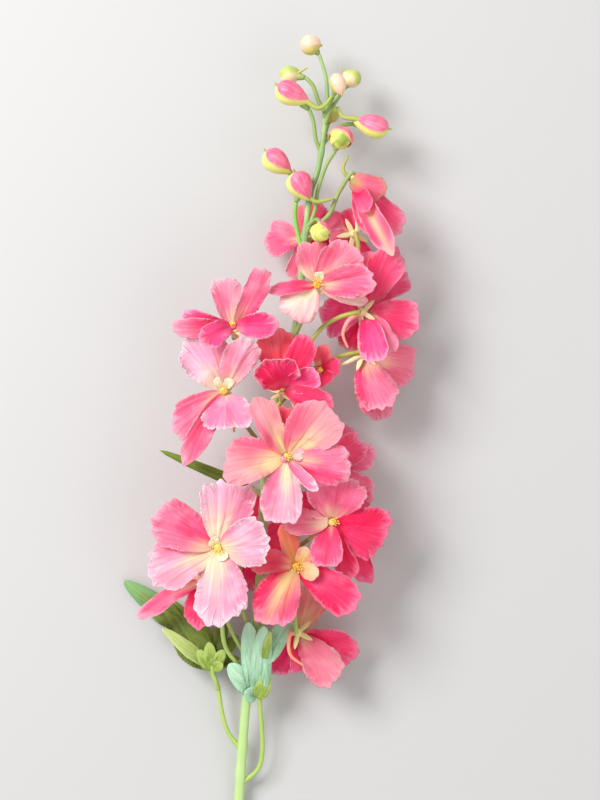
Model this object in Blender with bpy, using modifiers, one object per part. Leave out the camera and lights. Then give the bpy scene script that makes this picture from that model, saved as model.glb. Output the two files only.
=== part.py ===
"""A delphinium spray of cloth blooms laid on a table: stem, blooms with their stamens, buds and leaves.

The spray lies along Y with its tip at +Y. +Z is up from the table, which is at z = 0.
Places are given in millimetres on a plan, which shows the spray as it is seen from above.
"""

import math
import random
from collections import namedtuple

import bmesh
import bpy
from mathutils import Matrix, Vector

MM = 0.001
SPRAY = "delphinium"

# The plan is what an eye sees from EYE_HEIGHT above the table; it is true to size at PLAN_LEVEL.
EYE_HEIGHT = 900.0
PLAN_LEVEL = 30.0
# The plan's point that becomes the part's origin: the middle of the spray's outline
ORIGIN = Vector((-14.0, -46.0, 0.0))
UP = Vector((0.0, 0.0, 1.0))

# Thickness of the pressed cloth petals and leaves, and the clearance between pieces that touch
PETAL_THICK = 0.8
LEAF_THICK = 0.9
GAP = 0.3
# What comes this close to the table lies flat on it
PRESSED = 0.15

# A petal narrower than SMALL has the fewest facets, one wider than LARGE the most
SMALL = 11.5
LARGE = 21.0

# How far a petal's edge waves and how unevenly it is cut, as a share of its width and length
WAVE = 0.03
CUT = 0.035
# How fast a petal or lobe widens from its foot: a higher power keeps it narrow for longer
WIDENING = 0.75
# The corners of a petal's end reach this share of its length; a leaf's lobe is more pointed
PETAL_SHOULDER = 0.7
LOBE_SHOULDER = 0.35
LOBE_POINT = 1.6
LOBE_CUP = 0.08
# Each petal leans on its neighbour by this many degrees, so one edge is over and one under
LEAN = 8.0
# Edges sharper than this many degrees stay sharp where a piece is shaded smooth
SHARP = 40.0

# A stalk's curve is read at STEPS points between two of its own, and keeps one wherever it has
# turned by BEND degrees
STEPS = 4
BEND = 16.0

# The hub where a bloom's petals meet, and how far from its axis they start
HUB_RADIUS = 2.9
HUB_THICK = 2.2
PETAL_FOOT = 1.8
CLAW_WIDE = 2.6
LEAF_CLAW = 2.2

# The calyx behind a bloom: a cup with pointed teeth, which flare, and a tapered spur
CALYX_RADIUS = 2.6
CALYX_NECK = 1.27
CALYX_LONG = 5.5
TOOTH_LONG = 4.6
TOOTH_RADIUS = 0.9
TOOTH_FLARE = 0.3
TOOTH_SUNK = 2.0
TOOTH_ASIDE = 1.2
SPUR_RADIUS = 0.95
SPUR_TAPER = 0.5

# Stalks of the blooms, the leaves and the buds, and how far a stalk's end is sunk in its calyx
STALK_RADIUS = 1.15
BUD_STALK_RADIUS = 1.04
STALK_SUNK = 1.0

# A bud narrows by BUD_POINT at one end and has a neck that tapers to its stalk
BUD_POINT = 0.3
NECK_RADIUS = 2.2
NECK_END = 0.9
BUD_SPUR_RADIUS = 1.3
BUD_SPUR_TAPER = 0.6
TWIG_RADIUS = 1.3

# The tuft of stamens in front of the hub
TUFT_RADIUS = 1.2
TUFT_END = 0.6
TUFT_LONG = 3.0
STAMEN_RADIUS = 0.45
STAMEN_END = 0.32
STAMEN_LONG = 4.6
STAMEN_RAISED = 0.8
STAMEN_ASIDE = 0.3
STAMEN_FLARE = 0.2
STAMENS = 3

# Tints of the dyed cloth and of the moulded green plastic
PALE = (0.90, 0.47, 0.52)
ROSE = (0.88, 0.22, 0.32)
HOT = (0.85, 0.08, 0.20)
CORAL = (0.90, 0.27, 0.25)
PEACH = (0.85, 0.62, 0.45)
LIME = (0.62, 0.65, 0.28)
GOLD = (0.92, 0.75, 0.22)
GREEN = (0.42, 0.62, 0.25)
OLIVE = (0.16, 0.23, 0.02)
LEAF_LIME = (0.33, 0.50, 0.08)
SAGE = (0.33, 0.58, 0.40)

# Main stem: plan x, plan y, height, radius
STEM = [
    (-34, -267, 2.75, 2.75),
    (-32.5, -230, 3.0, 2.7),
    (-30.5, -200, 5.0, 2.6),
    (-28.5, -170, 9.5, 2.4),
    (-26.5, -148, 14.5, 2.3),
    (-24, -130, 19.0, 2.3),
    (-21.5, -105, 24.0, 2.3),
    (-19, -80, 28.0, 2.2),
    (-18, -50, 30.0, 2.2),
    (-16, -20, 31.0, 2.1),
    (-12, 0, 32.0, 2.0),
    (-6, 22, 32.0, 1.9),
    (-1.5, 40, 32.0, 1.8),
    (1, 65, 31.0, 1.7),
    (2.5, 82, 30.0, 1.5),
    (5, 102, 29.0, 1.45),
    (9, 115, 28.5, 1.4),
    (11, 126, 28.0, 1.35),
    (12.5, 138, 27.0, 1.2),
    (13.7, 150, 26.0, 1.05),
    (12.8, 162, 25.5, 0.95),
    (9.6, 172.6, 25.0, 0.9),
]

# A petal: plan x, plan y and height of its tip, its width, its roll in degrees, its bow and its cup.
# A bloom: its tint, its hub, the way it looks, its petals, where its stalk leaves the main stem and the
# points the stalk passes, the calyx teeth that show, and the points its spur passes.
Bloom = namedtuple("Bloom", "name tint hub looks petals leaves_at via teeth spur")

BLOOMS = [
    Bloom("bloom_a", ROSE, (2, 81, 17), (-0.3, 0.2, -0.9), [
        (-17.5, 80, 12, 19, 0, 0.06, 0.05),
        (2, 97.5, 9, 12, 0, 0.05, 0.05),
        (11.5, 97.5, 13, 15, 0, 0.06, 0.05),
        (-2, 60, 14, 11, 0, 0.05, 0.05),
        (20, 71, -2, 15, 0, -0.27, 0.0),
    ], 66, [(3, 74, 27)], 0, [(7, 82, 25), (9, 86, 26)]),
    Bloom("bloom_b", PALE, (8.5, 57.5, 44), (0.0, 0.2, 1.0), [
        (6.5, 79.5, 46, 19, 0, 0.08, 0.06),
        (27, 76.5, 50, 22, 0, 0.06, 0.06),
        (37.5, 61.5, 53, 17, 0, 0.06, 0.05),
        (33, 48.5, 43, 7, 0, 0.03, 0.10),
        (-16, 54, 48, 8, 20, 0.06, 0.10),
        (-5.5, 41.5, 46, 20, 0, 0.10, -0.06),
        (10, 64, 49, 6, 0, 0.05, 0.10),
    ], 30, [(3, 44, 35), (8, 53, 35)], 0, [(6, 49, 38), (3, 44, 40)]),
    Bloom("bloom_c", HOT, (28.5, 107, 31), (0.4, -0.7, -0.55), [
        (43.5, 105, 38, 12, 0, 0.16, -0.20),
        (34, 95, 46, 9, 0, 0.10, 0.10),
        (45.5, 73, 44, 12, 20, 0.10, 0.10),
        (49, 84, 24, 16, 0, 0.06, 0.05),
        (38, 82, 33, 12, 0, 0.08, 0.10),
    ], 84, [(14, 92, 30), (19, 103, 32)], 0, [(24.5, 111, 33), (21.5, 115.5, 33), (24, 122, 32)]),
    Bloom("bloom_q", ROSE, (26, 83, 22), (-0.2, 0.1, -0.95), [
        (12.5, 92, 19, 12, 0, 0.06, 0.05),
        (14.5, 79, 24, 11, -16, 0.06, 0.05),
        (25, 96, 22, 12, 0, 0.06, 0.05),
        (33, 66, 14, 12, 0, 0.06, 0.05),
    ], 46, [(12, 60, 31), (26, 72, 32), (29, 76, 32)], 3, [(28.5, 85, 28), (28, 92, 28)]),
    Bloom("bloom_d", ROSE, (32.5, 44, 32), (0.5, 0.05, -0.85), [
        (35.5, 73, 27, 15, 0, 0.06, 0.05),
        (47, 75.5, 31, 18, -8, 0.06, 0.05),
        (53.5, 63.5, 19, 15, -20, 0.06, 0.05),
        (59, 38, 34, 21, 0, 0.08, 0.05),
        (47, 23, 40, 13, 0, 0.08, 0.05),
        (39.5, 17, 47, 14, 6, 0.08, 0.08),
        (10.5, 40, 20, 20, 0, 0.05, 0.05),
        (23.5, 25, 15, 14, 0, 0.05, 0.05),
    ], 16, [(3, 27, 33), (12, 37, 35), (20, 41.5, 37)], 4, [(24.5, 40, 38.5), (21.5, 33, 38), (24, 26, 36)]),
    Bloom("bloom_e", ROSE, (31.5, 21.5, 24), (0.1, -0.35, -0.93), [
        (42, -4.5, 31, 21, 0, 0.08, -0.05),
        (34.5, -6.5, 23, 12, 0, 0.05, 0.05),
        (42.5, -12, 15, 14, 0, 0.05, 0.05),
        (59, 15, 12, 21, 0, 0.05, 0.05),
        (47, 33, -2, 17, 0, -0.27, 0.0),
    ], 2, [(2, 12, 28), (14, 20, 23.5)], 4, [(24, 19, 28), (20, 17.5, 27)]),
    Bloom("bloom_f", ROSE, (-33.5, 37, 43), (-0.1, 0.8, 0.6), [
        (-37.5, 61, 44, 16, 0, 0.06, 0.08),
        (-16.5, 65.5, 54, 12, 30, 0.06, 0.15),
        (-12, 38, 50, 13, 0, 0.08, 0.05),
        (-60.5, 41, 44, 10, 0, 0.06, 0.10),
        (-62.5, 35.5, 50, 10, 0, 0.06, 0.10),
        (-49, 29, 57, 12, 0, 0.10, 0.08),
    ], 8, [(-14, 17, 34), (-24, 24, 36)], 0, [(-30, 28, 41), (-31, 24, 42)]),
    Bloom("bloom_g", PALE, (-38, 4.5, 45), (-0.15, 0.0, 1.0), [
        (-53, 31.5, 46, 26, 0, 0.06, 0.05),
        (-25, 31.5, 50, 17, 0, 0.06, 0.06),
        (-35.5, -15.5, 57, 25, 0, 0.12, -0.08),
        (-63.5, -17, 42, 20, 0, 0.06, 0.05),
        (-56.5, -30.5, 47, 12, -18, 0.06, 0.12),
        (-42, 11, 50, 6, 0, 0.05, 0.10),
        (-34, 11, 50.5, 6, 0, 0.05, 0.10),
    ], -26, [(-23, -18, 34), (-30, -8, 36)], 0, [(-33.5, -6, 40), (-33, -16, 41)]),
    Bloom("bloom_h", HOT, (-9, 6, 40), (0.05, 0.8, 0.55), [
        (-14, 22, 58, 21, 0, 0.10, 0.05),
        (9, 13.5, 50, 12.5, 0, 0.10, 0.08),
        (17.5, -3, 53, 12, 0, 0.08, 0.08),
        (-12, 35, 38, 21, 0, 0.05, 0.05),
        (5, 33, 40.5, 14, 0, 0.05, 0.05),
    ], -18, [(-14, -8, 34)], 3, [(-5, 1, 38), (-3, -4, 38)]),
    Bloom("bloom_s", HOT, (9.5, 15, 30), (0.4, 0.2, 0.85), [
        (12.5, 27.5, 34, 8, 0, 0.05, 0.10),
        (20.5, 18, 32, 9, 0, 0.08, 0.10),
        (15, 8.5, 32, 10, 0, 0.08, 0.10),
    ], -4, [(-2, 6, 32)], 0, [(3, 18, 28), (1, 22, 27)]),
    Bloom("bloom_i", CORAL, (-6.5, -28.5, 50), (0.05, 0.1, 1.0), [
        (-22, 3.5, 59, 14, 0, 0.05, 0.05),
        (-8, -1.5, 49, 14, 0, 0.05, 0.05),
        (14.5, -4, 57, 27, 0, 0.05, 0.05),
        (26.5, -35, 54, 20, 0, 0.08, -0.05),
        (9, -45.5, 59, 6, 0, 0.08, 0.10),
        (-11.5, -62.5, 55, 21, 0, 0.08, -0.05),
        (-39, -31.5, 56, 23, 0, 0.07, -0.05),
        (2.5, -26, 54.5, 6, 0, 0.05, 0.10),
    ], -56, [(-15, -44, 37), (-9, -36, 40)], 0, [(-2, -36, 43), (0, -40, 43)]),
    Bloom("bloom_j", CORAL, (13, -31, 28), (0.8, 0.05, -0.3), [
        (32, -20, 36, 16, 0, 0.06, 0.05),
        (38.5, -28, 28, 14, 0, 0.06, 0.05),
        (35, -51, 33, 18, 0, 0.06, 0.05),
        (24, -54, -2, 17, 0, -0.27, 0.0),
        (22, -10, 8, 16, 0, 0.05, 0.05),
    ], -58, [(-10, -46, 30), (0, -34, 31)], 0, [(6, -24, 31), (3, -19, 31)]),
    Bloom("bloom_k", ROSE, (16, -61, 41), (0.4, 0.1, 0.9), [
        (18.5, -38, 48, 30, 0, 0.06, 0.05),
        (-8, -60, 46, 14, 0, 0.06, 0.05),
        (12.5, -84.5, 49, 16, 0, 0.06, 0.05),
        (26, -89, 38, 11, 0, 0.04, 0.05),
        (36, -91, 26, 12, -14, 0.04, 0.0),
        (44, -69, 38, 27, 0, 0.07, -0.05),
        (2, -45, 41, 16, 0, 0.06, 0.05),
    ], -90, [(-8, -78, 32), (4, -70, 33)], 0, [(9, -66, 34), (4, -70, 35)]),
    Bloom("bloom_l", PALE, (-41, -74, 48), (-0.1, -0.1, 1.0), [
        (-34.5, -39, 45, 27, 0, 0.06, 0.05),
        (-74, -58, 50, 23, 0, 0.07, -0.05),
        (-76.5, -87, 47, 25, 0, 0.07, -0.05),
        (-38.5, -111.5, 49, 27, 0, 0.09, -0.06),
        (-16, -69, 62, 25, 0, 0.10, -0.06),
        (-44.5, -69, 52.5, 7, 0, 0.05, 0.10),
        (-37.5, -80, 52.5, 7, 0, 0.05, 0.10),
    ], -142, [(-30.5, -133, 19), (-37, -124, 24), (-39, -112, 31), (-39, -90, 36)], 0,
        [(-36, -84, 42), (-33, -90, 42)]),
    Bloom("bloom_m", CORAL, (-2, -83, 42), (0.1, -0.1, 1.0), [
        (-8, -61.5, 39, 10, 0, 0.04, 0.05),
        (-26, -79, 44, 13, 0, 0.06, 0.05),
        (-17, -111, 48, 24, 0, 0.07, -0.05),
        (28.5, -103, 42, 19, 0, 0.06, -0.05),
        (9, -87, 49, 9, 0, 0.06, 0.05),
        (5, -74.5, 46, 9, 0, 0.05, 0.05),
    ], -116, [(-14, -102, 27), (-6, -90, 30)], 0, [(2, -78, 35), (5, -73, 35)]),
    Bloom("bloom_n", HOT, (-0.5, -117, 24), (0.2, -0.4, -0.9), [
        (-14.5, -136.5, 13, 15, -16, 0.06, 0.05),
        (1, -137, 18, 12, -16, 0.05, 0.05),
        (17.5, -141, 25, 20, 0, 0.08, -0.05),
        (27.5, -127.5, 15, 19, 0, 0.06, 0.05),
        (9, -92, 17, 17, 0, -0.03, 0.05),
    ], -104, [(-11, -96, 28), (-4, -100, 31)], 4, [(-5, -117, 30), (-5, -127, 30), (2, -133, 30)]),
    Bloom("bloom_o", HOT, (-28, -72, 14), (-0.1, 0.1, -1.0), [
        (-27, -96, 15, 16, 0, 0.05, 0.05),
        (-24, -43, 18, 15, 0, 0.05, 0.05),
        (-4, -66, 7, 17, 0, 0.05, 0.05),
        (-51, -60, 6, 17, 0, 0.05, 0.05),
    ], -124, [(-25.5, -114, 26), (-30, -101, 27), (-30, -84, 27)], 0, [(-22, -76, 21), (-18, -80, 21)]),
    Bloom("bloom_p", ROSE, (-48, -90, 22), (-0.3, -0.25, -0.9), [
        (-80.5, -108, 22, 9, 0, 0.06, 0.15),
        (-50, -114, 28, 19, 0, 0.05, 0.05),
        (-74, -77, -2, 19, 0, -0.27, 0.0),
        (-50, -64, 17, 16, 0, 0.05, 0.05),
    ], -132, [(-34, -116, 24), (-42, -96, 30)], 0, [(-40, -84, 30), (-38, -80, 31)]),
]

# A bud: its tint, its middle, half its length and width, the way its long axis lies, the points its stalk
# passes and the points its spur passes. A bud with no stalk of its own sits on the stem's end.
Bud = namedtuple("Bud", "name tint middle half way stalk spur")

BUDS = [
    Bud("bud_1", PEACH, (5.3, 177.6, 25), (5.3, 5.2), (1, 0.3, 0), [], [(9.5, 177.5, 25), (11.2, 177, 25)]),
    Bud("bud_2", LIME, (-5, 162.5, 23.5), (5.4, 4.8), (1, 0.2, 0),
        [(12.6, 144, 26.5), (9.5, 149, 26), (6.5, 157, 26), (2.9, 161.2, 25.4)],
        [(-1, 163.5, 25.5), (1.5, 165, 27), (3.6, 166, 27.5)]),
    Bud("bud_3", ROSE, (-3.5, 152.5, 32), (9.3, 6.0), (0.87, -0.4, 0),
        [(10.6, 124, 28), (8, 130, 28.5), (6.7, 139, 29), (4.8, 145, 29.5)],
        [(3, 149.5, 32.5), (8.5, 146, 33), (12.5, 147.5, 33), (16, 152, 33)]),
    Bud("bud_4", LIME, (25.8, 161, 21), (4.9, 4.8), (-0.7, 0.7, 0),
        [(12.6, 138, 27), (15.2, 145, 29), (18.4, 150, 26), (22.2, 155.8, 21.5)],
        [(23, 164, 21), (20.6, 165.7, 21)]),
    Bud("bud_5", PEACH, (19, 158, 33), (5.6, 4.1), (0.3, -0.9, 0),
        [(12.8, 141, 27), (14.6, 147, 29.5), (16.8, 152.3, 31)], [(20.5, 154, 34), (21, 152, 35)]),
    Bud("bud_6", LIME, (15.5, 143, 20), (4.6, 4.4), (0.6, 0.8, 0),
        [(12, 130, 27), (12.8, 134, 22), (14, 138, 20)], []),
    Bud("bud_7", ROSE, (35, 137.3, 27), (9.6, 5.8), (-0.95, 0.3, 0),
        [(11.3, 128, 27.7), (16, 133.5, 25), (21.5, 137.4, 23.3), (26.2, 138, 22.6)],
        [(28, 140.5, 28.5), (21.5, 141.6, 28), (18.6, 146.5, 27)]),
    Bud("bud_8", LIME, (20.8, 131.5, 34), (6.4, 5.9), (0.2, -0.4, 0.9),
        [(2.6, 82, 30), (7.2, 94, 31.8), (9, 105, 32), (13, 117, 32.3), (17.6, 124.6, 32.8)], []),
    Bud("bud_9", ROSE, (-10.5, 118, 27), (7.4, 5.9), (-0.85, 0.5, 0),
        [(4.4, 99, 29), (1.5, 106, 24), (-3.2, 112.3, 25)], []),
    Bud("bud_10", ROSE, (0.5, 106.5, 35.5), (8.0, 6.4), (0.5, -0.85, 0),
        [(1.6, 72, 30.5), (-1.2, 84, 29.5), (-2.4, 92, 30.5), (-2, 98.8, 32.5)],
        [(5, 101, 35), (9, 99, 35), (17, 100.8, 34)]),
    Bud("bud_11", LIME, (10, 84, 51), (5.0, 4.8), (0.1, 0.3, 0.95),
        [(3, 86, 29.7), (7.5, 90, 34), (9.5, 89.5, 41), (10, 87.4, 45.6)], []),
]

# A lobe: plan place and height of its foot and its tip, its width, its roll and its bow.
# A leaf: its tint, where its stalk ends, where its own twig ends, the points its stalk passes, its lobes.
Leaf = namedtuple("Leaf", "name tint foot twig stalk lobes")

LEAVES = [
    Leaf("leaf_left", OLIVE, (-44.5, -136, 12), (-46, -132.5, 12),
         [(-30, -174, 8.5), (-36, -166, 9.5), (-39.3, -155, 10.5), (-41.2, -143, 11.5)], [
        (-45.5, -134, 12, -68, -99, 8, 19, 0, 0.04),
        (-57, -114, 10, -88, -90.5, 3, 13, 0, 0.04),
        (-45.2, -133, 12, -52, -104, 9, 10.5, 0, 0.05),
        (-44.8, -132.5, 12.2, -37, -109, 8, 10, 0, 0.05),
        (-44.6, -131.5, 12, -31, -118, 7, 9, 0, 0.05),
        (-44.4, -132, 12, -30, -129, 6, 7, 0, 0.05),
        (-46, -133, 12.4, -69, -114, 17, 8, 30, 0.02),
    ]),
    Leaf("leaf_small", LEAF_LIME, (-43.4, -137, 15.3), (-44, -133, 17),
         [(-41.2, -144, 11.6), (-42, -140.5, 14.2)], [
        (-44, -135, 16, -45.5, -121, 20, 7, 0, 0.06),
        (-44.3, -134.6, 16.1, -51, -125, 19, 7, 0, 0.06),
        (-43.7, -134.7, 16.2, -38, -125, 20, 7, 0, 0.06),
        (-43.6, -134, 16.4, -38.5, -132, 20, 6, 0, 0.06),
    ]),
    Leaf("leaf_sage", SAGE, (-20.3, -150, 16.5), (-21, -145, 18),
         [(-29.6, -192, 5.8), (-21, -184.5, 8), (-18.8, -175, 10), (-19.3, -162, 13)], [
        (-21.5, -148, 17.5, -27.5, -146, 23, 9, 0, 0.05),
        (-22, -147, 18, -35.5, -132, 24, 11, 0, 0.06),
        (-22, -146, 18, -26, -111, 30, 11, 0, 0.05),
        (-21, -148, 17.5, -18, -113, 31, 11, 0, 0.05),
        (-20.5, -133, 24, -4, -107.5, 25, 11, 0, 0.05),
        (-21, -146, 18, -15.5, -138, 22, 7, 0, 0.05),
    ]),
    Leaf("leaf_blade", OLIVE, (-20.8, -46, 30.5), (-26, -43.5, 31.5),
         [(-17.6, -49, 30)], [
        (-23, -45, 31, -70.5, -25, 35, 5.5, 0, 0.04),
    ]),
]


def place(x, y, z):
    """The point at height z that is seen at (x, y) on the plan, in metres from the part's origin."""
    nearer = (EYE_HEIGHT - z) / (EYE_HEIGHT - PLAN_LEVEL)
    return (Vector((x * nearer, y * nearer, z)) - ORIGIN) * MM


def new_object(name, mesh):
    made = bpy.data.objects.new(name, mesh)
    bpy.data.collections[SPRAY].objects.link(made)
    return made


def new_collection(name):
    made = bpy.data.collections.new(name)
    bpy.context.scene.collection.children.link(made)
    return made


def blade(name, foot, tip, wide, thick, roll, bow, cup, claw, shoulder=PETAL_SHOULDER, point=1.0):
    """A petal or a leaf's lobe: a waved grid, rounded or pointed, laid from foot to tip and thickened."""
    rng = random.Random(name)
    long = (tip - foot).length
    across, rows = (2, 2) if wide < SMALL * MM else (3, 3) if wide < LARGE * MM else (4, 3)
    grid = bmesh.new()
    bmesh.ops.create_grid(grid, x_segments=across, y_segments=rows, size=1.0)
    root = [vertex for vertex in grid.verts if vertex.co.y < -0.99]
    for vertex in root:
        vertex.co.x = math.copysign(1.0, vertex.co.x)
    bmesh.ops.remove_doubles(grid, verts=root, dist=0.01)
    for vertex in grid.verts:
        u = (vertex.co.y + 1) / 2
        v = vertex.co.x
        side = claw + (1 - claw) * math.sin(math.pi / 2 * u) ** WIDENING
        spread = (1 - u * u) * v + u * u * math.sin(v * math.pi / 2)
        crest = shoulder + (1 - shoulder) * max(0.0, math.cos(v * math.pi / 2)) ** point
        rise = bow * long * math.sin(math.pi * u) + cup * wide * side * v * v
        rise += WAVE * wide * u * u * rng.uniform(-1, 1)
        reach = u * (1 + CUT * u * u * rng.uniform(-1, 1))
        vertex.co = Vector((wide / 2 * side * spread, long * reach * crest, rise))
    bmesh.ops.triangulate(grid, faces=grid.faces[:])
    along = (tip - foot).normalized()
    face = (UP - along * along.z).normalized()
    turned = Matrix((along.cross(face), along, face)).transposed().to_4x4()
    turned = Matrix.Translation(foot) @ turned @ Matrix.Rotation(math.radians(roll), 4, "Y")
    bmesh.ops.transform(grid, matrix=turned, verts=grid.verts[:])
    for vertex in grid.verts:
        vertex.co.z = max(vertex.co.z, thick / 2)
    mesh = bpy.data.meshes.new(name)
    grid.to_mesh(mesh)
    grid.free()
    made = new_object(name, mesh)
    wall = made.modifiers.new("Thickness", "SOLIDIFY")
    wall.thickness = thick
    wall.offset = 0.0
    return made


def smooth_line(points):
    """Points along a Catmull-Rom curve through the given rows of numbers."""
    rows = [Vector(p) for p in points]
    rows = [rows[0] * 2 - rows[1]] + rows + [rows[-1] * 2 - rows[-2]]
    found = []
    for a, b, c, d in zip(rows, rows[1:], rows[2:], rows[3:]):
        for step in range(STEPS):
            t = step / STEPS
            found.append(0.5 * (2 * b + (c - a) * t + (2 * a - 5 * b + 4 * c - d) * t ** 2
                                + (3 * b - a - 3 * c + d) * t ** 3))
    return found + [rows[-2]]


def bends(line):
    """The points of a line where it has turned far enough to need one."""
    kept = [line[0]]
    for here, after in zip(line[1:], line[2:]):
        if (here - kept[-1]).angle(after - here) > math.radians(BEND):
            kept.append(here)
    return kept + [line[-1]]


def tube(name, points, radii, roundness):
    """A closed round bar along points whose radius follows radii."""
    data = bpy.data.curves.new(name, "CURVE")
    data.dimensions = "3D"
    data.bevel_depth = 1.0
    data.bevel_resolution = roundness
    data.use_fill_caps = True
    spline = data.splines.new("POLY")
    spline.points.add(len(points) - 1)
    for knot, point, radius in zip(spline.points, points, radii):
        knot.co = (*point, 1.0)
        knot.radius = radius
    curve = new_object(name + "_line", data)
    graph = bpy.context.evaluated_depsgraph_get()
    mesh = bpy.data.meshes.new_from_object(curve.evaluated_get(graph))
    bpy.data.objects.remove(curve)
    shell = bmesh.new()
    shell.from_mesh(mesh)
    bmesh.ops.remove_doubles(shell, verts=shell.verts[:], dist=1e-6)
    bmesh.ops.recalc_face_normals(shell, faces=shell.faces[:])
    shell.to_mesh(mesh)
    shell.free()
    return new_object(name, mesh)


def cone(name, start, end, radius_start, radius_end, sides):
    """A closed cone or drum from start to end."""
    shell = bmesh.new()
    bmesh.ops.create_cone(shell, cap_ends=True, segments=sides, radius1=radius_start,
                          radius2=radius_end, depth=(end - start).length)
    turn = (end - start).to_track_quat("Z", "Y").to_matrix().to_4x4()
    bmesh.ops.transform(shell, matrix=Matrix.Translation((start + end) / 2) @ turn, verts=shell.verts[:])
    mesh = bpy.data.meshes.new(name)
    shell.to_mesh(mesh)
    shell.free()
    return new_object(name, mesh)


def egg(name, middle, half_long, half_wide, way):
    """A rounded body that narrows along way."""
    shell = bmesh.new()
    bmesh.ops.create_uvsphere(shell, u_segments=8, v_segments=5, radius=1.0)
    for vertex in shell.verts:
        narrow = 1 - BUD_POINT * max(0.0, vertex.co.z)
        vertex.co = Vector((vertex.co.x * half_wide * narrow, vertex.co.y * half_wide * narrow,
                            vertex.co.z * half_long))
    turn = way.to_track_quat("Z", "Y").to_matrix().to_4x4()
    bmesh.ops.transform(shell, matrix=Matrix.Translation(middle) @ turn, verts=shell.verts[:])
    mesh = bpy.data.meshes.new(name)
    shell.to_mesh(mesh)
    shell.free()
    return new_object(name, mesh)


def keep_largest(mesh):
    """Drop the scraps and sealed bubbles that a union can leave beside or inside the body."""
    shell = bmesh.new()
    shell.from_mesh(mesh)
    waiting = set(shell.verts)
    islands = []
    while waiting:
        reached = [waiting.pop()]
        for vertex in reached:
            near = {edge.other_vert(vertex) for edge in vertex.link_edges} & waiting
            waiting -= near
            reached.extend(near)
        islands.append(reached)
    islands.sort(key=len)
    for scrap in islands[:-1]:
        bmesh.ops.delete(shell, geom=scrap, context="VERTS")
    shell.to_mesh(mesh)
    shell.free()


def fused(name, middle, host, others, material):
    """One body of a host and the pieces that run into it, turning about its middle."""
    group = new_collection(name + "_pieces")
    for piece in others:
        bpy.data.collections[SPRAY].objects.unlink(piece)
        group.objects.link(piece)
    union = host.modifiers.new("Union", "BOOLEAN")
    union.operation = "UNION"
    union.operand_type = "COLLECTION"
    union.collection = group
    graph = bpy.context.evaluated_depsgraph_get()
    mesh = bpy.data.meshes.new_from_object(host.evaluated_get(graph))
    for piece in [host, *others]:
        bpy.data.objects.remove(piece)
    bpy.data.collections.remove(group)
    keep_largest(mesh)
    for vertex in mesh.vertices:
        if vertex.co.z < PRESSED * MM:
            vertex.co.z = 0.0
    mesh.transform(Matrix.Translation(-middle))
    mesh.name = name
    mesh.materials.clear()
    mesh.materials.append(material)
    mesh.shade_smooth()
    mesh.set_sharp_from_angle(angle=math.radians(SHARP))
    made = new_object(name, mesh)
    made.location = middle
    return made


def finish(name, colour, roughness):
    made = bpy.data.materials.new(name)
    made.use_nodes = True
    shader = made.node_tree.nodes["Principled BSDF"]
    shader.inputs["Base Color"].default_value = (*colour, 1.0)
    shader.inputs["Roughness"].default_value = roughness
    shader.inputs["Metallic"].default_value = 0.0
    return made


def stem_at(y):
    """The point of the main stem that the plan shows at y."""
    line = smooth_line(STEM)
    below = max((p for p in line if p[1] <= y), key=lambda p: p[1])
    above = min((p for p in line if p[1] > y), key=lambda p: p[1])
    return place(*below.lerp(above, (y - below[1]) / (above[1] - below[1]))[:3])


def make_petals(bloom, material):
    """The petals of one bloom, fused where they meet at the hub."""
    hub = place(*bloom.hub)
    looks = Vector(bloom.looks).normalized()
    half = looks * HUB_THICK / 2 * MM
    disc = cone(bloom.name + "_hub", hub - half, hub + half, HUB_RADIUS * MM, HUB_RADIUS * MM, 8)
    petals = []
    for number, (x, y, z, wide, roll, bow, cup) in enumerate(bloom.petals):
        tip = place(x, y, z)
        out = (tip - hub) - looks * (tip - hub).dot(looks)
        foot = hub + out.normalized() * PETAL_FOOT * MM
        petals.append(blade(f"{bloom.name}_petal_{number}", foot, tip, wide * MM, PETAL_THICK * MM,
                            roll + LEAN, bow, cup, CLAW_WIDE / wide))
    return fused(bloom.name + "_petals", hub, disc, petals, material)


def make_stamens(bloom, material):
    """The tuft in front of a bloom's hub: a short cone with slim points round it."""
    looks = Vector(bloom.looks).normalized()
    foot = place(*bloom.hub) + looks * (HUB_THICK / 2 + GAP) * MM
    body = cone(bloom.name + "_tuft", foot, foot + looks * TUFT_LONG * MM,
                TUFT_RADIUS * MM, TUFT_END * MM, 5)
    aside = looks.orthogonal().normalized()
    points = []
    for number in range(STAMENS):
        out = Matrix.Rotation(math.tau * number / STAMENS, 3, looks) @ aside
        root = foot + (looks * STAMEN_RAISED + out * STAMEN_ASIDE) * MM
        top = root + (looks + out * STAMEN_FLARE).normalized() * STAMEN_LONG * MM
        points.append(cone(f"{bloom.name}_stamen_{number}", root, top,
                           STAMEN_RADIUS * MM, STAMEN_END * MM, 3))
    return fused(bloom.name + "_stamens", foot, body, points, material)


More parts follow.
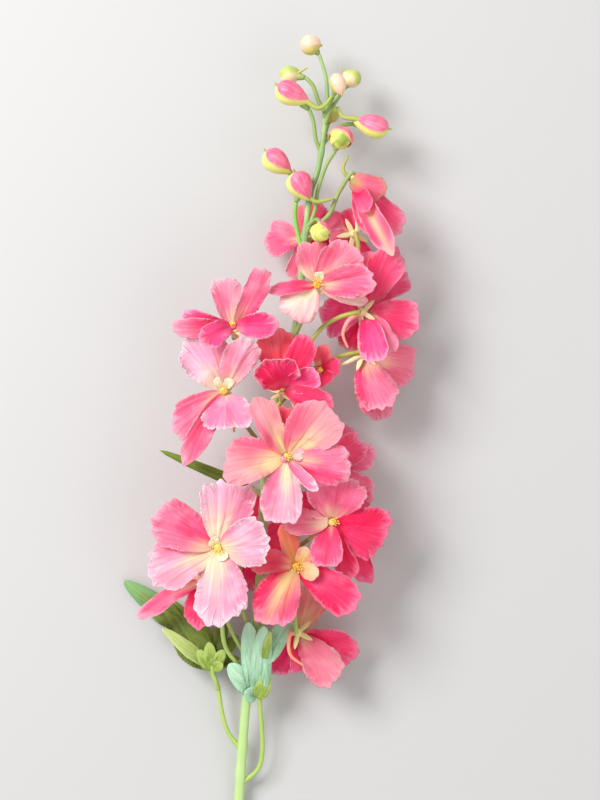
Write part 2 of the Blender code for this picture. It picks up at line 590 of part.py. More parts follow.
def calyx_pieces(bloom):
    """The stalk of one bloom, the calyx it ends in, the calyx teeth that show and the spur."""
    looks = Vector(bloom.looks).normalized()
    mouth = place(*bloom.hub) - looks * (HUB_THICK / 2 + GAP) * MM
    back = mouth - looks * CALYX_LONG * MM
    cup = cone(bloom.name + "_cup", back, mouth, CALYX_NECK * MM, CALYX_RADIUS * MM, 6)
    sunk = looks * STALK_SUNK * MM
    via = [place(*p) for p in bloom.via]
    line = bends(smooth_line([stem_at(bloom.leaves_at), *via, back - sunk, back + sunk]))
    pieces = [cup, tube(bloom.name + "_stalk", line, [STALK_RADIUS * MM] * len(line), 1)]
    line = bends(smooth_line([back.lerp(mouth, 0.5), *[place(*p) for p in bloom.spur]]))
    taper = [SPUR_RADIUS * MM * (1 - SPUR_TAPER * n / len(line)) for n in range(len(line))]
    pieces.append(tube(bloom.name + "_spur", line, taper, 0))
    aside = looks.cross(UP).normalized()
    for number in range(bloom.teeth):
        angle = math.pi * (number + 0.5) / bloom.teeth
        out = Matrix.Rotation(angle, 3, looks) @ aside
        root = mouth + (out * TOOTH_ASIDE - looks * TOOTH_SUNK) * MM
        top = root + (out + looks * TOOTH_FLARE).normalized() * TOOTH_LONG * MM
        pieces.append(cone(f"{bloom.name}_tooth_{number}", root, top,
                           TOOTH_RADIUS * MM, TOOTH_RADIUS * 0.4 * MM, 3))
    return pieces


def make_bud(bud, material):
    """One closed bud with its spur and the neck that meets its stalk."""
    middle = place(*bud.middle)
    body = egg(bud.name + "_body", middle, bud.half[0] * MM, bud.half[1] * MM, Vector(bud.way))
    end = place(*(bud.stalk or STEM)[-1][:3])
    neck = (end - middle).normalized()
    others = [cone(bud.name + "_neck", middle, end - neck * 2 * GAP * MM,
                   NECK_RADIUS * MM, NECK_END * MM, 6)]
    if bud.spur:
        line = [middle.lerp(place(*bud.spur[0]), 0.5), *[place(*p) for p in bud.spur]]
        line = bends(smooth_line(line))
        taper = [BUD_SPUR_RADIUS * MM * (1 - BUD_SPUR_TAPER * n / len(line)) for n in range(len(line))]
        others.append(tube(bud.name + "_spur", line, taper, 0))
    return fused(bud.name, middle, body, others, material)


def make_leaf(leaf, material):
    """One leaf of pointed lobes with the short twig that meets its stalk."""
    foot = place(*leaf.foot)
    ahead = (place(*leaf.twig) - foot).normalized()
    twig = cone(leaf.name + "_twig", foot + ahead * GAP * MM, place(*leaf.twig),
                TWIG_RADIUS * MM, TWIG_RADIUS * MM, 6)
    lobes = []
    for number, (x0, y0, z0, x1, y1, z1, wide, roll, bow) in enumerate(leaf.lobes):
        lobes.append(blade(f"{leaf.name}_lobe_{number}", place(x0, y0, z0), place(x1, y1, z1),
                           wide * MM, LEAF_THICK * MM, roll, bow, LOBE_CUP, LEAF_CLAW / wide,
                           LOBE_SHOULDER, LOBE_POINT))
    return fused(leaf.name, foot, twig, lobes, material)


def make_stem(material):
    """The main stem with every stalk, calyx and spur."""
    line = [Vector(p) for p in STEM]
    stem = tube("main", [place(*p[:3]) for p in line], [p[3] * MM for p in line], 2)
    others = []
    for bloom in BLOOMS:
        others += calyx_pieces(bloom)
    for bud in BUDS:
        if bud.stalk:
            line = bends(smooth_line([place(*p) for p in bud.stalk]))
            others.append(tube(bud.name + "_stalk", line, [BUD_STALK_RADIUS * MM] * len(line), 1))
    for leaf in LEAVES:
        line = bends(smooth_line([place(*p) for p in [*leaf.stalk, leaf.foot]]))
        others.append(tube(leaf.name + "_stalk", line, [STALK_RADIUS * MM] * len(line), 1))
    return fused("stem", Vector(), stem, others, material)


def main():
    for old in list(bpy.data.objects):
        bpy.data.objects.remove(old)
    new_collection(SPRAY)
    for bloom in BLOOMS:
        make_petals(bloom, finish(bloom.name + "_cloth", bloom.tint, 0.6))
        make_stamens(bloom, finish(bloom.name + "_gold", GOLD, 0.6))
    for bud in BUDS:
        make_bud(bud, finish(bud.name + "_foam", bud.tint, 0.55))
    for leaf in LEAVES:
        make_leaf(leaf, finish(leaf.name + "_cloth", leaf.tint, 0.65))
    make_stem(finish("stem_plastic", GREEN, 0.5))


main()
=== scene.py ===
"""The look of a cut delphinium spray of dyed cloth, laid on a pale table and seen from above."""

import math
import random

import bpy
import numpy as np
from mathutils import Matrix, Vector


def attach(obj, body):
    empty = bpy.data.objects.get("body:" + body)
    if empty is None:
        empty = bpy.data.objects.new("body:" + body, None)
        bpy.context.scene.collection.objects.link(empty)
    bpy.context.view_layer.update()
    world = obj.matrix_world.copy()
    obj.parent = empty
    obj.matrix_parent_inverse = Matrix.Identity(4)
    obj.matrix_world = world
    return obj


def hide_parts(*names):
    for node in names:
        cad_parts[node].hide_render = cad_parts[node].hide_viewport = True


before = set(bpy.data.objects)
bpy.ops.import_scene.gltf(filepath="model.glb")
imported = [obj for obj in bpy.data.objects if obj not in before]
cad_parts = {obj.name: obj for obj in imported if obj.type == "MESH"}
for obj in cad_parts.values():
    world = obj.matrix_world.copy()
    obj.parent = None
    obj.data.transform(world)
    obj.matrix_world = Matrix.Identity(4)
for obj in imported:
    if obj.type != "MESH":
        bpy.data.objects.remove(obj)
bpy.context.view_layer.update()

# The eye over the table. It looks straight down on the spray, whose tip is at the top of the picture.
# The spray was photographed from arm's length, so what is nearer the eye looks a little larger.
MM = 0.001
EYE_HEIGHT = 900.0
PLAN_LEVEL = 30.0
PICTURE_LONG = 400.0
ORIGIN = Vector((-14.0, -46.0, 0.0))
UP = Vector((0.0, 0.0, 1.0))

eye = bpy.data.cameras.new("eye")
eye.sensor_fit = "AUTO"
eye.sensor_width = 36.0
eye.lens = eye.sensor_width * (EYE_HEIGHT - PLAN_LEVEL) / PICTURE_LONG
eye.clip_start = 0.01
eye.clip_end = 20.0
camera = bpy.data.objects.new("eye", eye)
camera.location = (UP * EYE_HEIGHT - ORIGIN) * MM
bpy.context.scene.collection.objects.link(camera)
bpy.context.scene.camera = camera


# The table: a plain pale matt surface that the lowest petals and the stem's cut end lie on.
# It lies a hair below them, so that no two surfaces share a plane.
TABLE_HALF = 4.0
TABLE_BELOW = 0.0002
TABLE_COLOUR = (0.54, 0.535, 0.53, 1.0)

bpy.ops.mesh.primitive_plane_add(size=2 * TABLE_HALF, location=(0, 0, -TABLE_BELOW))
table = bpy.context.object
table.name = "table"
table_paint = bpy.data.materials.new("pale_table")
table_paint.use_nodes = True
table_shader = table_paint.node_tree.nodes["Principled BSDF"]
table_shader.inputs["Base Color"].default_value = TABLE_COLOUR
table_shader.inputs["Roughness"].default_value = 0.9
table.data.materials.append(table_paint)


# The light: a broad soft panel over the upper left, a weaker one over the lower right, and an even
# white surround, so that shadows under the blooms stay soft.
PANELS = [
    ("window", (-0.85, 0.7, 1.1), 0.7, 26.0),
    ("reflector", (0.8, -0.7, 1.0), 1.2, 5.0),
]
SURROUND = 0.62

bpy.context.scene.view_settings.view_transform = "Standard"
for name, place_at, side, watts in PANELS:
    lamp = bpy.data.lights.new(name, "AREA")
    lamp.shape = "SQUARE"
    lamp.size = side
    lamp.energy = watts
    panel = bpy.data.objects.new(name, lamp)
    panel.location = place_at
    panel.rotation_mode = "QUATERNION"
    panel.rotation_quaternion = Vector(place_at).to_track_quat("Z", "Y")
    bpy.context.scene.collection.objects.link(panel)
surround = bpy.data.worlds.new("surround")
surround.use_nodes = True
surround.node_tree.nodes["Background"].inputs["Color"].default_value = (1.0, 1.0, 1.0, 1.0)
surround.node_tree.nodes["Background"].inputs["Strength"].default_value = SURROUND
bpy.context.scene.world = surround


# The main stem: one bar of moulded green plastic over a wire, pale lime at its cut end and greener
# towards its tip. It has shallow ribs and swells a little wherever a stalk leaves it.
STEM = [
    (-34, -267, 2.75, 2.75), (-32.5, -230, 3.0, 2.7), (-30.5, -200, 5.0, 2.6), (-28.5, -170, 9.5, 2.4),
    (-26.5, -148, 14.5, 2.3), (-24, -130, 19.0, 2.3), (-21.5, -105, 24.0, 2.3), (-19, -80, 28.0, 2.2),
    (-18, -50, 30.0, 2.2), (-16, -20, 31.0, 2.1), (-12, 0, 32.0, 2.0), (-6, 22, 32.0, 1.9),
    (-1.5, 40, 32.0, 1.8), (1, 65, 31.0, 1.7), (2.5, 82, 30.0, 1.5), (5, 102, 29.0, 1.45),
    (9, 115, 28.5, 1.4), (11, 126, 28.0, 1.35), (12.5, 138, 27.0, 1.2), (13.7, 150, 26.0, 1.05),
    (12.8, 162, 25.5, 0.95), (9.6, 172.6, 25.0, 0.9),
]
STEM_NODES = [-187, -174, -142, -116, -90, -56, -26, -4, 16, 46, 66, 84, 99, 124, 141]
STEM_SIDES = 24
RIBS = 5
RIB_DEEP = 0.035
NODE_SWELL = 0.28
NODE_LONG = 3.0


class Paint:
    """A value in a material's nodes. Arithmetic on it adds Math nodes."""

    def __init__(self, tree, socket):
        self.tree = tree
        self.socket = socket

    def node(self, kind, settings, values, out=0):
        """One node of a kind: its settings, then the values or links of its sockets."""
        made = self.tree.nodes.new("ShaderNode" + kind)
        for name, value in settings.items():
            setattr(made, name, value)
        for name, value in values.items():
            if isinstance(value, Paint):
                self.tree.links.new(value.socket, made.inputs[name])
            else:
                made.inputs[name].default_value = value
        return Paint(self.tree, made.outputs[out])

    def math(self, operation, first, second=0.0):
        """A Math node on two values."""
        return self.node("Math", {"operation": operation}, {0: first, 1: second})

    def __add__(self, other):
        return self.math("ADD", self, other)

    __radd__ = __add__

    def __sub__(self, other):
        return self.math("SUBTRACT", self, other)

    def __rsub__(self, other):
        return self.math("SUBTRACT", other, self)

    def __mul__(self, other):
        return self.math("MULTIPLY", self, other)

    __rmul__ = __mul__

    def rises(self, low, high):
        """0 below low and 1 above high, with a smooth step between."""
        return self.node("MapRange", {"interpolation_type": "SMOOTHSTEP"},
                         {"Value": self, "From Min": low, "From Max": high})

    def mix(self, first, second):
        """first where this value is 0 and second where it is 1, both colours."""
        return self.node("Mix", {"data_type": "RGBA"}, {"Factor": self, 6: first, 7: second}, 2)

    def carried(self, name):
        """A value that the mesh carries."""
        return self.node("Attribute", {"attribute_name": name}, {}, "Fac")

    def mottle(self, where, scale, detail):
        """A soft random pattern, 0 to 1."""
        return self.node("TexNoise", {}, {"Vector": where, "Scale": scale, "Detail": detail}, "Fac")


def tint(red, green, blue):
    """A linear colour from the 0 to 255 values that a screen shows."""
    return (*[((c / 255 + 0.055) / 1.055) ** 2.4 for c in (red, green, blue)], 1.0)


def new_finish(name, roughness):
    """A material with its shader, and a Paint to start its nodes from."""
    made = bpy.data.materials.new(name)
    made.use_nodes = True
    shader = made.node_tree.nodes["Principled BSDF"]
    shader.inputs["Roughness"].default_value = roughness
    return made, shader, Paint(made.node_tree, None)


def bump_into(shader, height, strength, distance):
    """Raise the shader's surface by a height, with the distance in millimetres."""
    bump = height.node("Bump", {}, {"Height": height, "Strength": strength, "Distance": distance * MM})
    height.tree.links.new(bump.socket, shader.inputs["Normal"])


def paint_into(shader, colour):
    """Give the shader's surface a colour."""
    colour.tree.links.new(colour.socket, shader.inputs["Base Color"])


def moulded_green(name, below, above, patch, from_y, to_y):
    """Dyed plastic whose colour changes along the spray, with drawn-out streaks and paler patches."""
    made, shader, start = new_finish(name, 0.5)
    where = start.node("TexCoord", {}, {}, "Object")
    split = start.node("SeparateXYZ", {}, {0: where}, "Y")
    height = split.rises(from_y * MM, to_y * MM)
    drawn_out = start.node("Mapping", {}, {"Vector": where, "Scale": (900.0, 90.0, 900.0)})
    streak = start.mottle(drawn_out, 1.0, 3.0)
    cloud = start.mottle(where, 60.0, 2.0)
    colour = height.mix(below, above)
    colour = (cloud.rises(0.45, 0.75) * 0.55).mix(colour, patch)
    colour = (streak.rises(0.35, 0.8) * 0.35).mix(colour, below)
    paint_into(shader, colour)
    grain = start.mottle(where, 2600.0, 2.0)
    bump_into(shader, streak + grain * 0.3, 0.35, 0.25)
    return made


def place(x, y, z):
    """The point at height z that is seen at (x, y) on the plan, in metres from the part's origin."""
    nearer = (EYE_HEIGHT - z) / (EYE_HEIGHT - PLAN_LEVEL)
    return (Vector((x * nearer, y * nearer, z)) - ORIGIN) * MM


def smooth_line(points, steps):
    """Points along a Catmull-Rom curve through the given rows of numbers."""
    rows = [Vector(p) for p in points]
    rows = [rows[0] * 2 - rows[1]] + rows + [rows[-1] * 2 - rows[-2]]
    found = []
    for a, b, c, d in zip(rows, rows[1:], rows[2:], rows[3:]):
        for step in range(steps):
            t = step / steps
            found.append(0.5 * (2 * b + (c - a) * t + (2 * a - 5 * b + 4 * c - d) * t ** 2
                                + (3 * b - a - 3 * c + d) * t ** 3))
    return found + [rows[-2]]


def skin(points, closed, finish=0, capped=False, **marks):
    """A surface over rows of points, and the marks that its points carry for the paint."""
    rows, columns = points.shape[:2]
    index = np.arange(rows * columns).reshape(rows, columns)
    left = index if closed else index[:, :-1]
    right = np.roll(index, -1, axis=1) if closed else index[:, 1:]
    faces = np.stack([left[:-1], right[:-1], right[1:], left[1:]], axis=-1).reshape(-1, 4).tolist()
    if capped:
        faces += [index[0][::-1].tolist(), index[-1].tolist()]
    return {
        "points": points.reshape(-1, 3),
        "faces": faces,
        "finish": finish,
        "marks": {name: values.reshape(-1) for name, values in marks.items()},
    }


def bar(line, radii, sides, finish=0, ribs=0, deep=0.0):
    """A round bar along a line, with ribs if it has any."""
    points = np.array(line)
    ahead = np.gradient(points, axis=0)
    ahead /= np.linalg.norm(ahead, axis=1)[:, None]
    aside = Vector(ahead[0]).orthogonal().normalized()
    angles = np.linspace(0, math.tau, sides, endpoint=False)
    rings = []
    for point, way, radius in zip(points, ahead, radii):
        way = Vector(way)
        aside = (aside - way * aside.dot(way)).normalized()
        first = np.array(aside)
        second = np.array(way.cross(aside))
        reach = radius * (1 + deep * np.cos(ribs * angles))
        spokes = np.cos(angles)[:, None] * first + np.sin(angles)[:, None] * second
        rings.append(point + reach[:, None] * spokes)
    return skin(np.array(rings), True, finish, True)


def add_piece(name, parts, finishes, slot, *nodes):
    """One piece of the spray from its skins. It stands for the CAD nodes named."""
    mesh = bpy.data.meshes.new(name)
    starts = np.cumsum([0] + [len(p["points"]) for p in parts])
    faces = [[i + int(start) for i in face] for p, start in zip(parts, starts) for face in p["faces"]]
    mesh.from_pydata(np.concatenate([p["points"] for p in parts]).tolist(), [], faces)
    for key in parts[0]["marks"]:
        values = [p["marks"].get(key, np.zeros(len(p["points"]))) for p in parts]
        mesh.attributes.new(key, "FLOAT", "POINT").data.foreach_set("value", np.concatenate(values))
    for finish in finishes:
        mesh.materials.append(finish)
    owners = np.concatenate([np.full(len(p["faces"]), p["finish"]) for p in parts]).astype(np.int32)
    mesh.polygons.foreach_set("material_index", owners)
    mesh.shade_smooth()
    mesh.update()
    made = bpy.data.objects.new(name, mesh)
    bpy.context.scene.collection.objects.link(made)
    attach(made, "root")
    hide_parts(*nodes)
    return made


stem_line = smooth_line(STEM, 14)
stem_points = [place(*p[:3]) for p in stem_line]
stem_radii = []
for x, y, z, radius in stem_line:
    swell = sum(math.exp(-((y - node) / NODE_LONG) ** 2) for node in STEM_NODES)
    stem_radii.append((radius + NODE_SWELL * swell) * MM)
STEM_GREEN = moulded_green("stem_plastic", tint(182, 214, 136), tint(132, 166, 100), tint(198, 222, 160),
                           -140, 60)
add_piece("main_stem", [bar(stem_points, stem_radii, STEM_SIDES, ribs=RIBS, deep=RIB_DEEP)],
          [STEM_GREEN], "stem_green", "stem")


# The stalks and calyxes of the blooms: each stalk runs up along the stem, bows out and ends in a small
# moulded cup with five pointed teeth. A slim hollow spur curves back from the cup.
# A bloom: its hub, the way it looks, where its stalk leaves the stem and the points that the stalk
# passes, whether its calyx shows its back, and the points that its spur passes.
BLOOMS = {
    "a": ((2, 81, 17), (-0.3, 0.2, -0.9), 66, [(3, 74, 27)], False, [(7, 82, 25), (9, 86, 26)]),
    "b": ((8.5, 57.5, 44), (0.0, 0.2, 1.0), 30, [(3, 44, 35), (8, 53, 35)], False,
          [(6, 49, 38), (3, 44, 40)]),
    "c": ((28.5, 107, 31), (0.4, -0.7, -0.55), 84, [(14, 92, 30), (19, 103, 32)], False,
          [(24.5, 111, 33), (21.5, 115.5, 33), (24, 122, 32)]),
    "q": ((26, 83, 22), (-0.2, 0.1, -0.95), 46, [(12, 60, 31), (26, 72, 32), (29, 76, 32)], True,
          [(28.5, 85, 28), (28, 92, 28)]),
    "d": ((32.5, 44, 32), (0.5, 0.05, -0.85), 16, [(3, 27, 33), (12, 37, 35), (20, 41.5, 37)], True,
          [(24.5, 40, 38.5), (21.5, 33, 38), (24, 26, 36)]),
    "e": ((31.5, 21.5, 24), (0.1, -0.35, -0.93), 2, [(2, 12, 28), (14, 20, 23.5)], True,
          [(24, 19, 28), (20, 17.5, 27)]),
    "f": ((-33.5, 37, 43), (-0.1, 0.8, 0.6), 8, [(-14, 17, 34), (-24, 24, 36)], False,
          [(-30, 28, 41), (-31, 24, 42)]),
    "g": ((-38, 4.5, 45), (-0.15, 0.0, 1.0), -26, [(-23, -18, 34), (-30, -8, 36)], False,
          [(-33.5, -6, 40), (-33, -16, 41)]),
    "h": ((-9, 6, 40), (0.05, 0.8, 0.55), -18, [(-14, -8, 34)], True, [(-5, 1, 38), (-3, -4, 38)]),
    "s": ((9.5, 15, 30), (0.4, 0.2, 0.85), -4, [(-2, 6, 32)], False, [(3, 18, 28), (1, 22, 27)]),
    "i": ((-6.5, -28.5, 50), (0.05, 0.1, 1.0), -56, [(-15, -44, 37), (-9, -36, 40)], False,
          [(-2, -36, 43), (0, -40, 43)]),
    "j": ((13, -31, 28), (0.8, 0.05, -0.3), -58, [(-10, -46, 30), (0, -34, 31)], False,
          [(6, -24, 31), (3, -19, 31)]),
    "k": ((16, -61, 41), (0.4, 0.1, 0.9), -90, [(-8, -78, 32), (4, -70, 33)], False,
          [(9, -66, 34), (4, -70, 35)]),
    "l": ((-41, -74, 48), (-0.1, -0.1, 1.0), -142,
          [(-30.5, -133, 19), (-37, -124, 24), (-39, -112, 31), (-39, -90, 36)], False,
          [(-36, -84, 42), (-33, -90, 42)]),
    "m": ((-2, -83, 42), (0.1, -0.1, 1.0), -116, [(-14, -102, 27), (-6, -90, 30)], False,
          [(2, -78, 35), (5, -73, 35)]),
    "n": ((-0.5, -117, 24), (0.2, -0.4, -0.9), -104, [(-11, -96, 28), (-4, -100, 31)], True,
          [(-5, -117, 30), (-5, -127, 30), (2, -133, 30)]),
    "o": ((-28, -72, 14), (-0.1, 0.1, -1.0), -124,
          [(-25.5, -114, 26), (-30, -101, 27), (-30, -84, 27)], False,
          [(-22, -76, 21), (-18, -80, 21)]),
    "p": ((-48, -90, 22), (-0.3, -0.25, -0.9), -132, [(-34, -116, 24), (-42, -96, 30)], False,
          [(-40, -84, 30), (-38, -80, 31)]),
}
GAP = 0.3
HUB_THICK = 2.2
CALYX_LONG = 5.5
CALYX_NECK = 1.2
CALYX_MOUTH = 2.5
CALYX_CUP = [(0, CALYX_NECK), (1.2, 1.5), (2.6, 1.9), (4.2, 2.2), (CALYX_LONG, CALYX_MOUTH),
             (CALYX_LONG, 1.6)]
CALYX_SIDES = 20
STALK_RADIUS = 1.12
STALK_FLARE = 0.5
STALK_SIDES = 12
TEETH = 5
TOOTH_LONG = 7.2
TOOTH_WIDE = 2.7
TOOTH_THICK = 0.45
TOOTH_ROOT = 1.6
TOOTH_CURL = 0.3
FRONT_TOOTH = 0.45
SPUR_RADIUS = 1.35
SPUR_TAPER = 0.6
SPUR_SIDES = 10


def turned(foot, way, profile, sides, finish=0):
    """A turned body: its profile gives how far along way each ring is, and the ring's radius."""
    aside = way.orthogonal().normalized()
    first = np.array(aside)
    second = np.array(way.cross(aside))
    angles = np.linspace(0, math.tau, sides, endpoint=False)
    spokes = np.cos(angles)[:, None] * first + np.sin(angles)[:, None] * second
    rings = [np.array(foot) + np.array(way) * ahead * MM + spokes * radius * MM for ahead, radius in profile]
    return skin(np.array(rings), True, finish, True)


def spike(root, way, up, long, wide, thick, curl, finish=0):
    """A pointed tooth, flat and thick enough to hold, that curls towards up."""
    rows = 9
    side = way.cross(up).normalized()
    rings = []
    for u in np.linspace(0, 1, rows):
        half = wide / 2 * (math.sin(math.pi * (0.28 + 0.72 * u)) ** 0.8 + 0.03)
        deep = thick / 2 * (1 - 0.7 * u)
        middle = root + (way * u * long + up * curl * u * u) * MM
        ring = [middle + (side * half * math.cos(a) + up * deep * math.sin(a)) * MM
                for a in np.linspace(0, math.tau, 8, endpoint=False)]
        rings.append([list(p) for p in ring])
    return skin(np.array(rings), True, finish, True)


def stalk_bar(route, steps, radius, flare):
    """A stalk along a route, a little thicker where it leaves the stem."""
    line = smooth_line(route, steps)
    radii = [(radius + flare * math.exp(-n / 3)) * MM for n in range(len(line))]
    return bar(line, radii, STALK_SIDES)


def stem_at(y):
    """The point of the main stem that the plan shows at y."""
    below = max((p for p in stem_line if p[1] <= y), key=lambda p: p[1])
    above = min((p for p in stem_line if p[1] > y), key=lambda p: p[1])
    return place(*below.lerp(above, (y - below[1]) / (above[1] - below[1]))[:3])


STALK_GREEN = moulded_green("stalk_plastic", tint(168, 196, 96), tint(146, 162, 98), tint(186, 198, 132),
                            -110, 0)
CALYX_CREAM = moulded_green("calyx_plastic", tint(228, 212, 140), tint(236, 216, 168), tint(240, 190, 156),
                            -110, 40)
SPUR_DYES = {
    "cream": CALYX_CREAM,
    "olive": moulded_green("spur_olive", tint(168, 172, 74), tint(168, 172, 74), tint(190, 184, 112), 0, 100),
    "peach": moulded_green("spur_peach", tint(232, 150, 116), tint(240, 158, 140), tint(226, 176, 120),
                           -130, 40),
}
SPURS = {"c": "olive", "d": "peach", "n": "peach"}
OLIVE_STALKS = "deqh"

for key, (hub, looks, leaves_at, via, shows_back, spur) in BLOOMS.items():
    looks = Vector(looks).normalized()
    mouth = place(*hub) - looks * (HUB_THICK / 2 + GAP) * MM
    back = mouth - looks * CALYX_LONG * MM
    route = [stem_at(leaves_at), *[place(*p) for p in via], back - looks * MM, back + looks * MM]
    parts = [stalk_bar(route, 9, STALK_RADIUS, STALK_FLARE)]
    parts.append(turned(back, looks, CALYX_CUP, CALYX_SIDES, finish=1))
    heel = back.lerp(mouth, 0.5)
    line = smooth_line([heel, *[place(*p) for p in spur]], 8)
    radii = [SPUR_RADIUS * (1 - SPUR_TAPER * n / len(line)) * MM for n in range(len(line))]
    parts.append(bar(line, radii, SPUR_SIDES, finish=2))
    aside = looks.cross(UP).normalized()
    for tooth in range(TEETH):
        angle = math.pi * (tooth * 2 + 0.5) / TEETH
        out = Matrix.Rotation(angle, 3, looks) @ aside
        if not shows_back and out.z < 0:
            continue
        long = TOOTH_LONG if shows_back else TOOTH_LONG * FRONT_TOOTH
        root = mouth + (out * TOOTH_ROOT - looks * TOOTH_ROOT) * MM
        parts.append(spike(root, (out + looks * 0.08).normalized(), looks, long, TOOTH_WIDE, TOOTH_THICK,
                           TOOTH_CURL, finish=1))
    stalk_finish = SPUR_DYES["olive"] if key in OLIVE_STALKS else STALK_GREEN
    finishes = [stalk_finish, CALYX_CREAM, SPUR_DYES[SPURS.get(key, "cream")]]
    add_piece(f"stalk_and_calyx_{key}", parts, finishes, "stem_green", "stem")


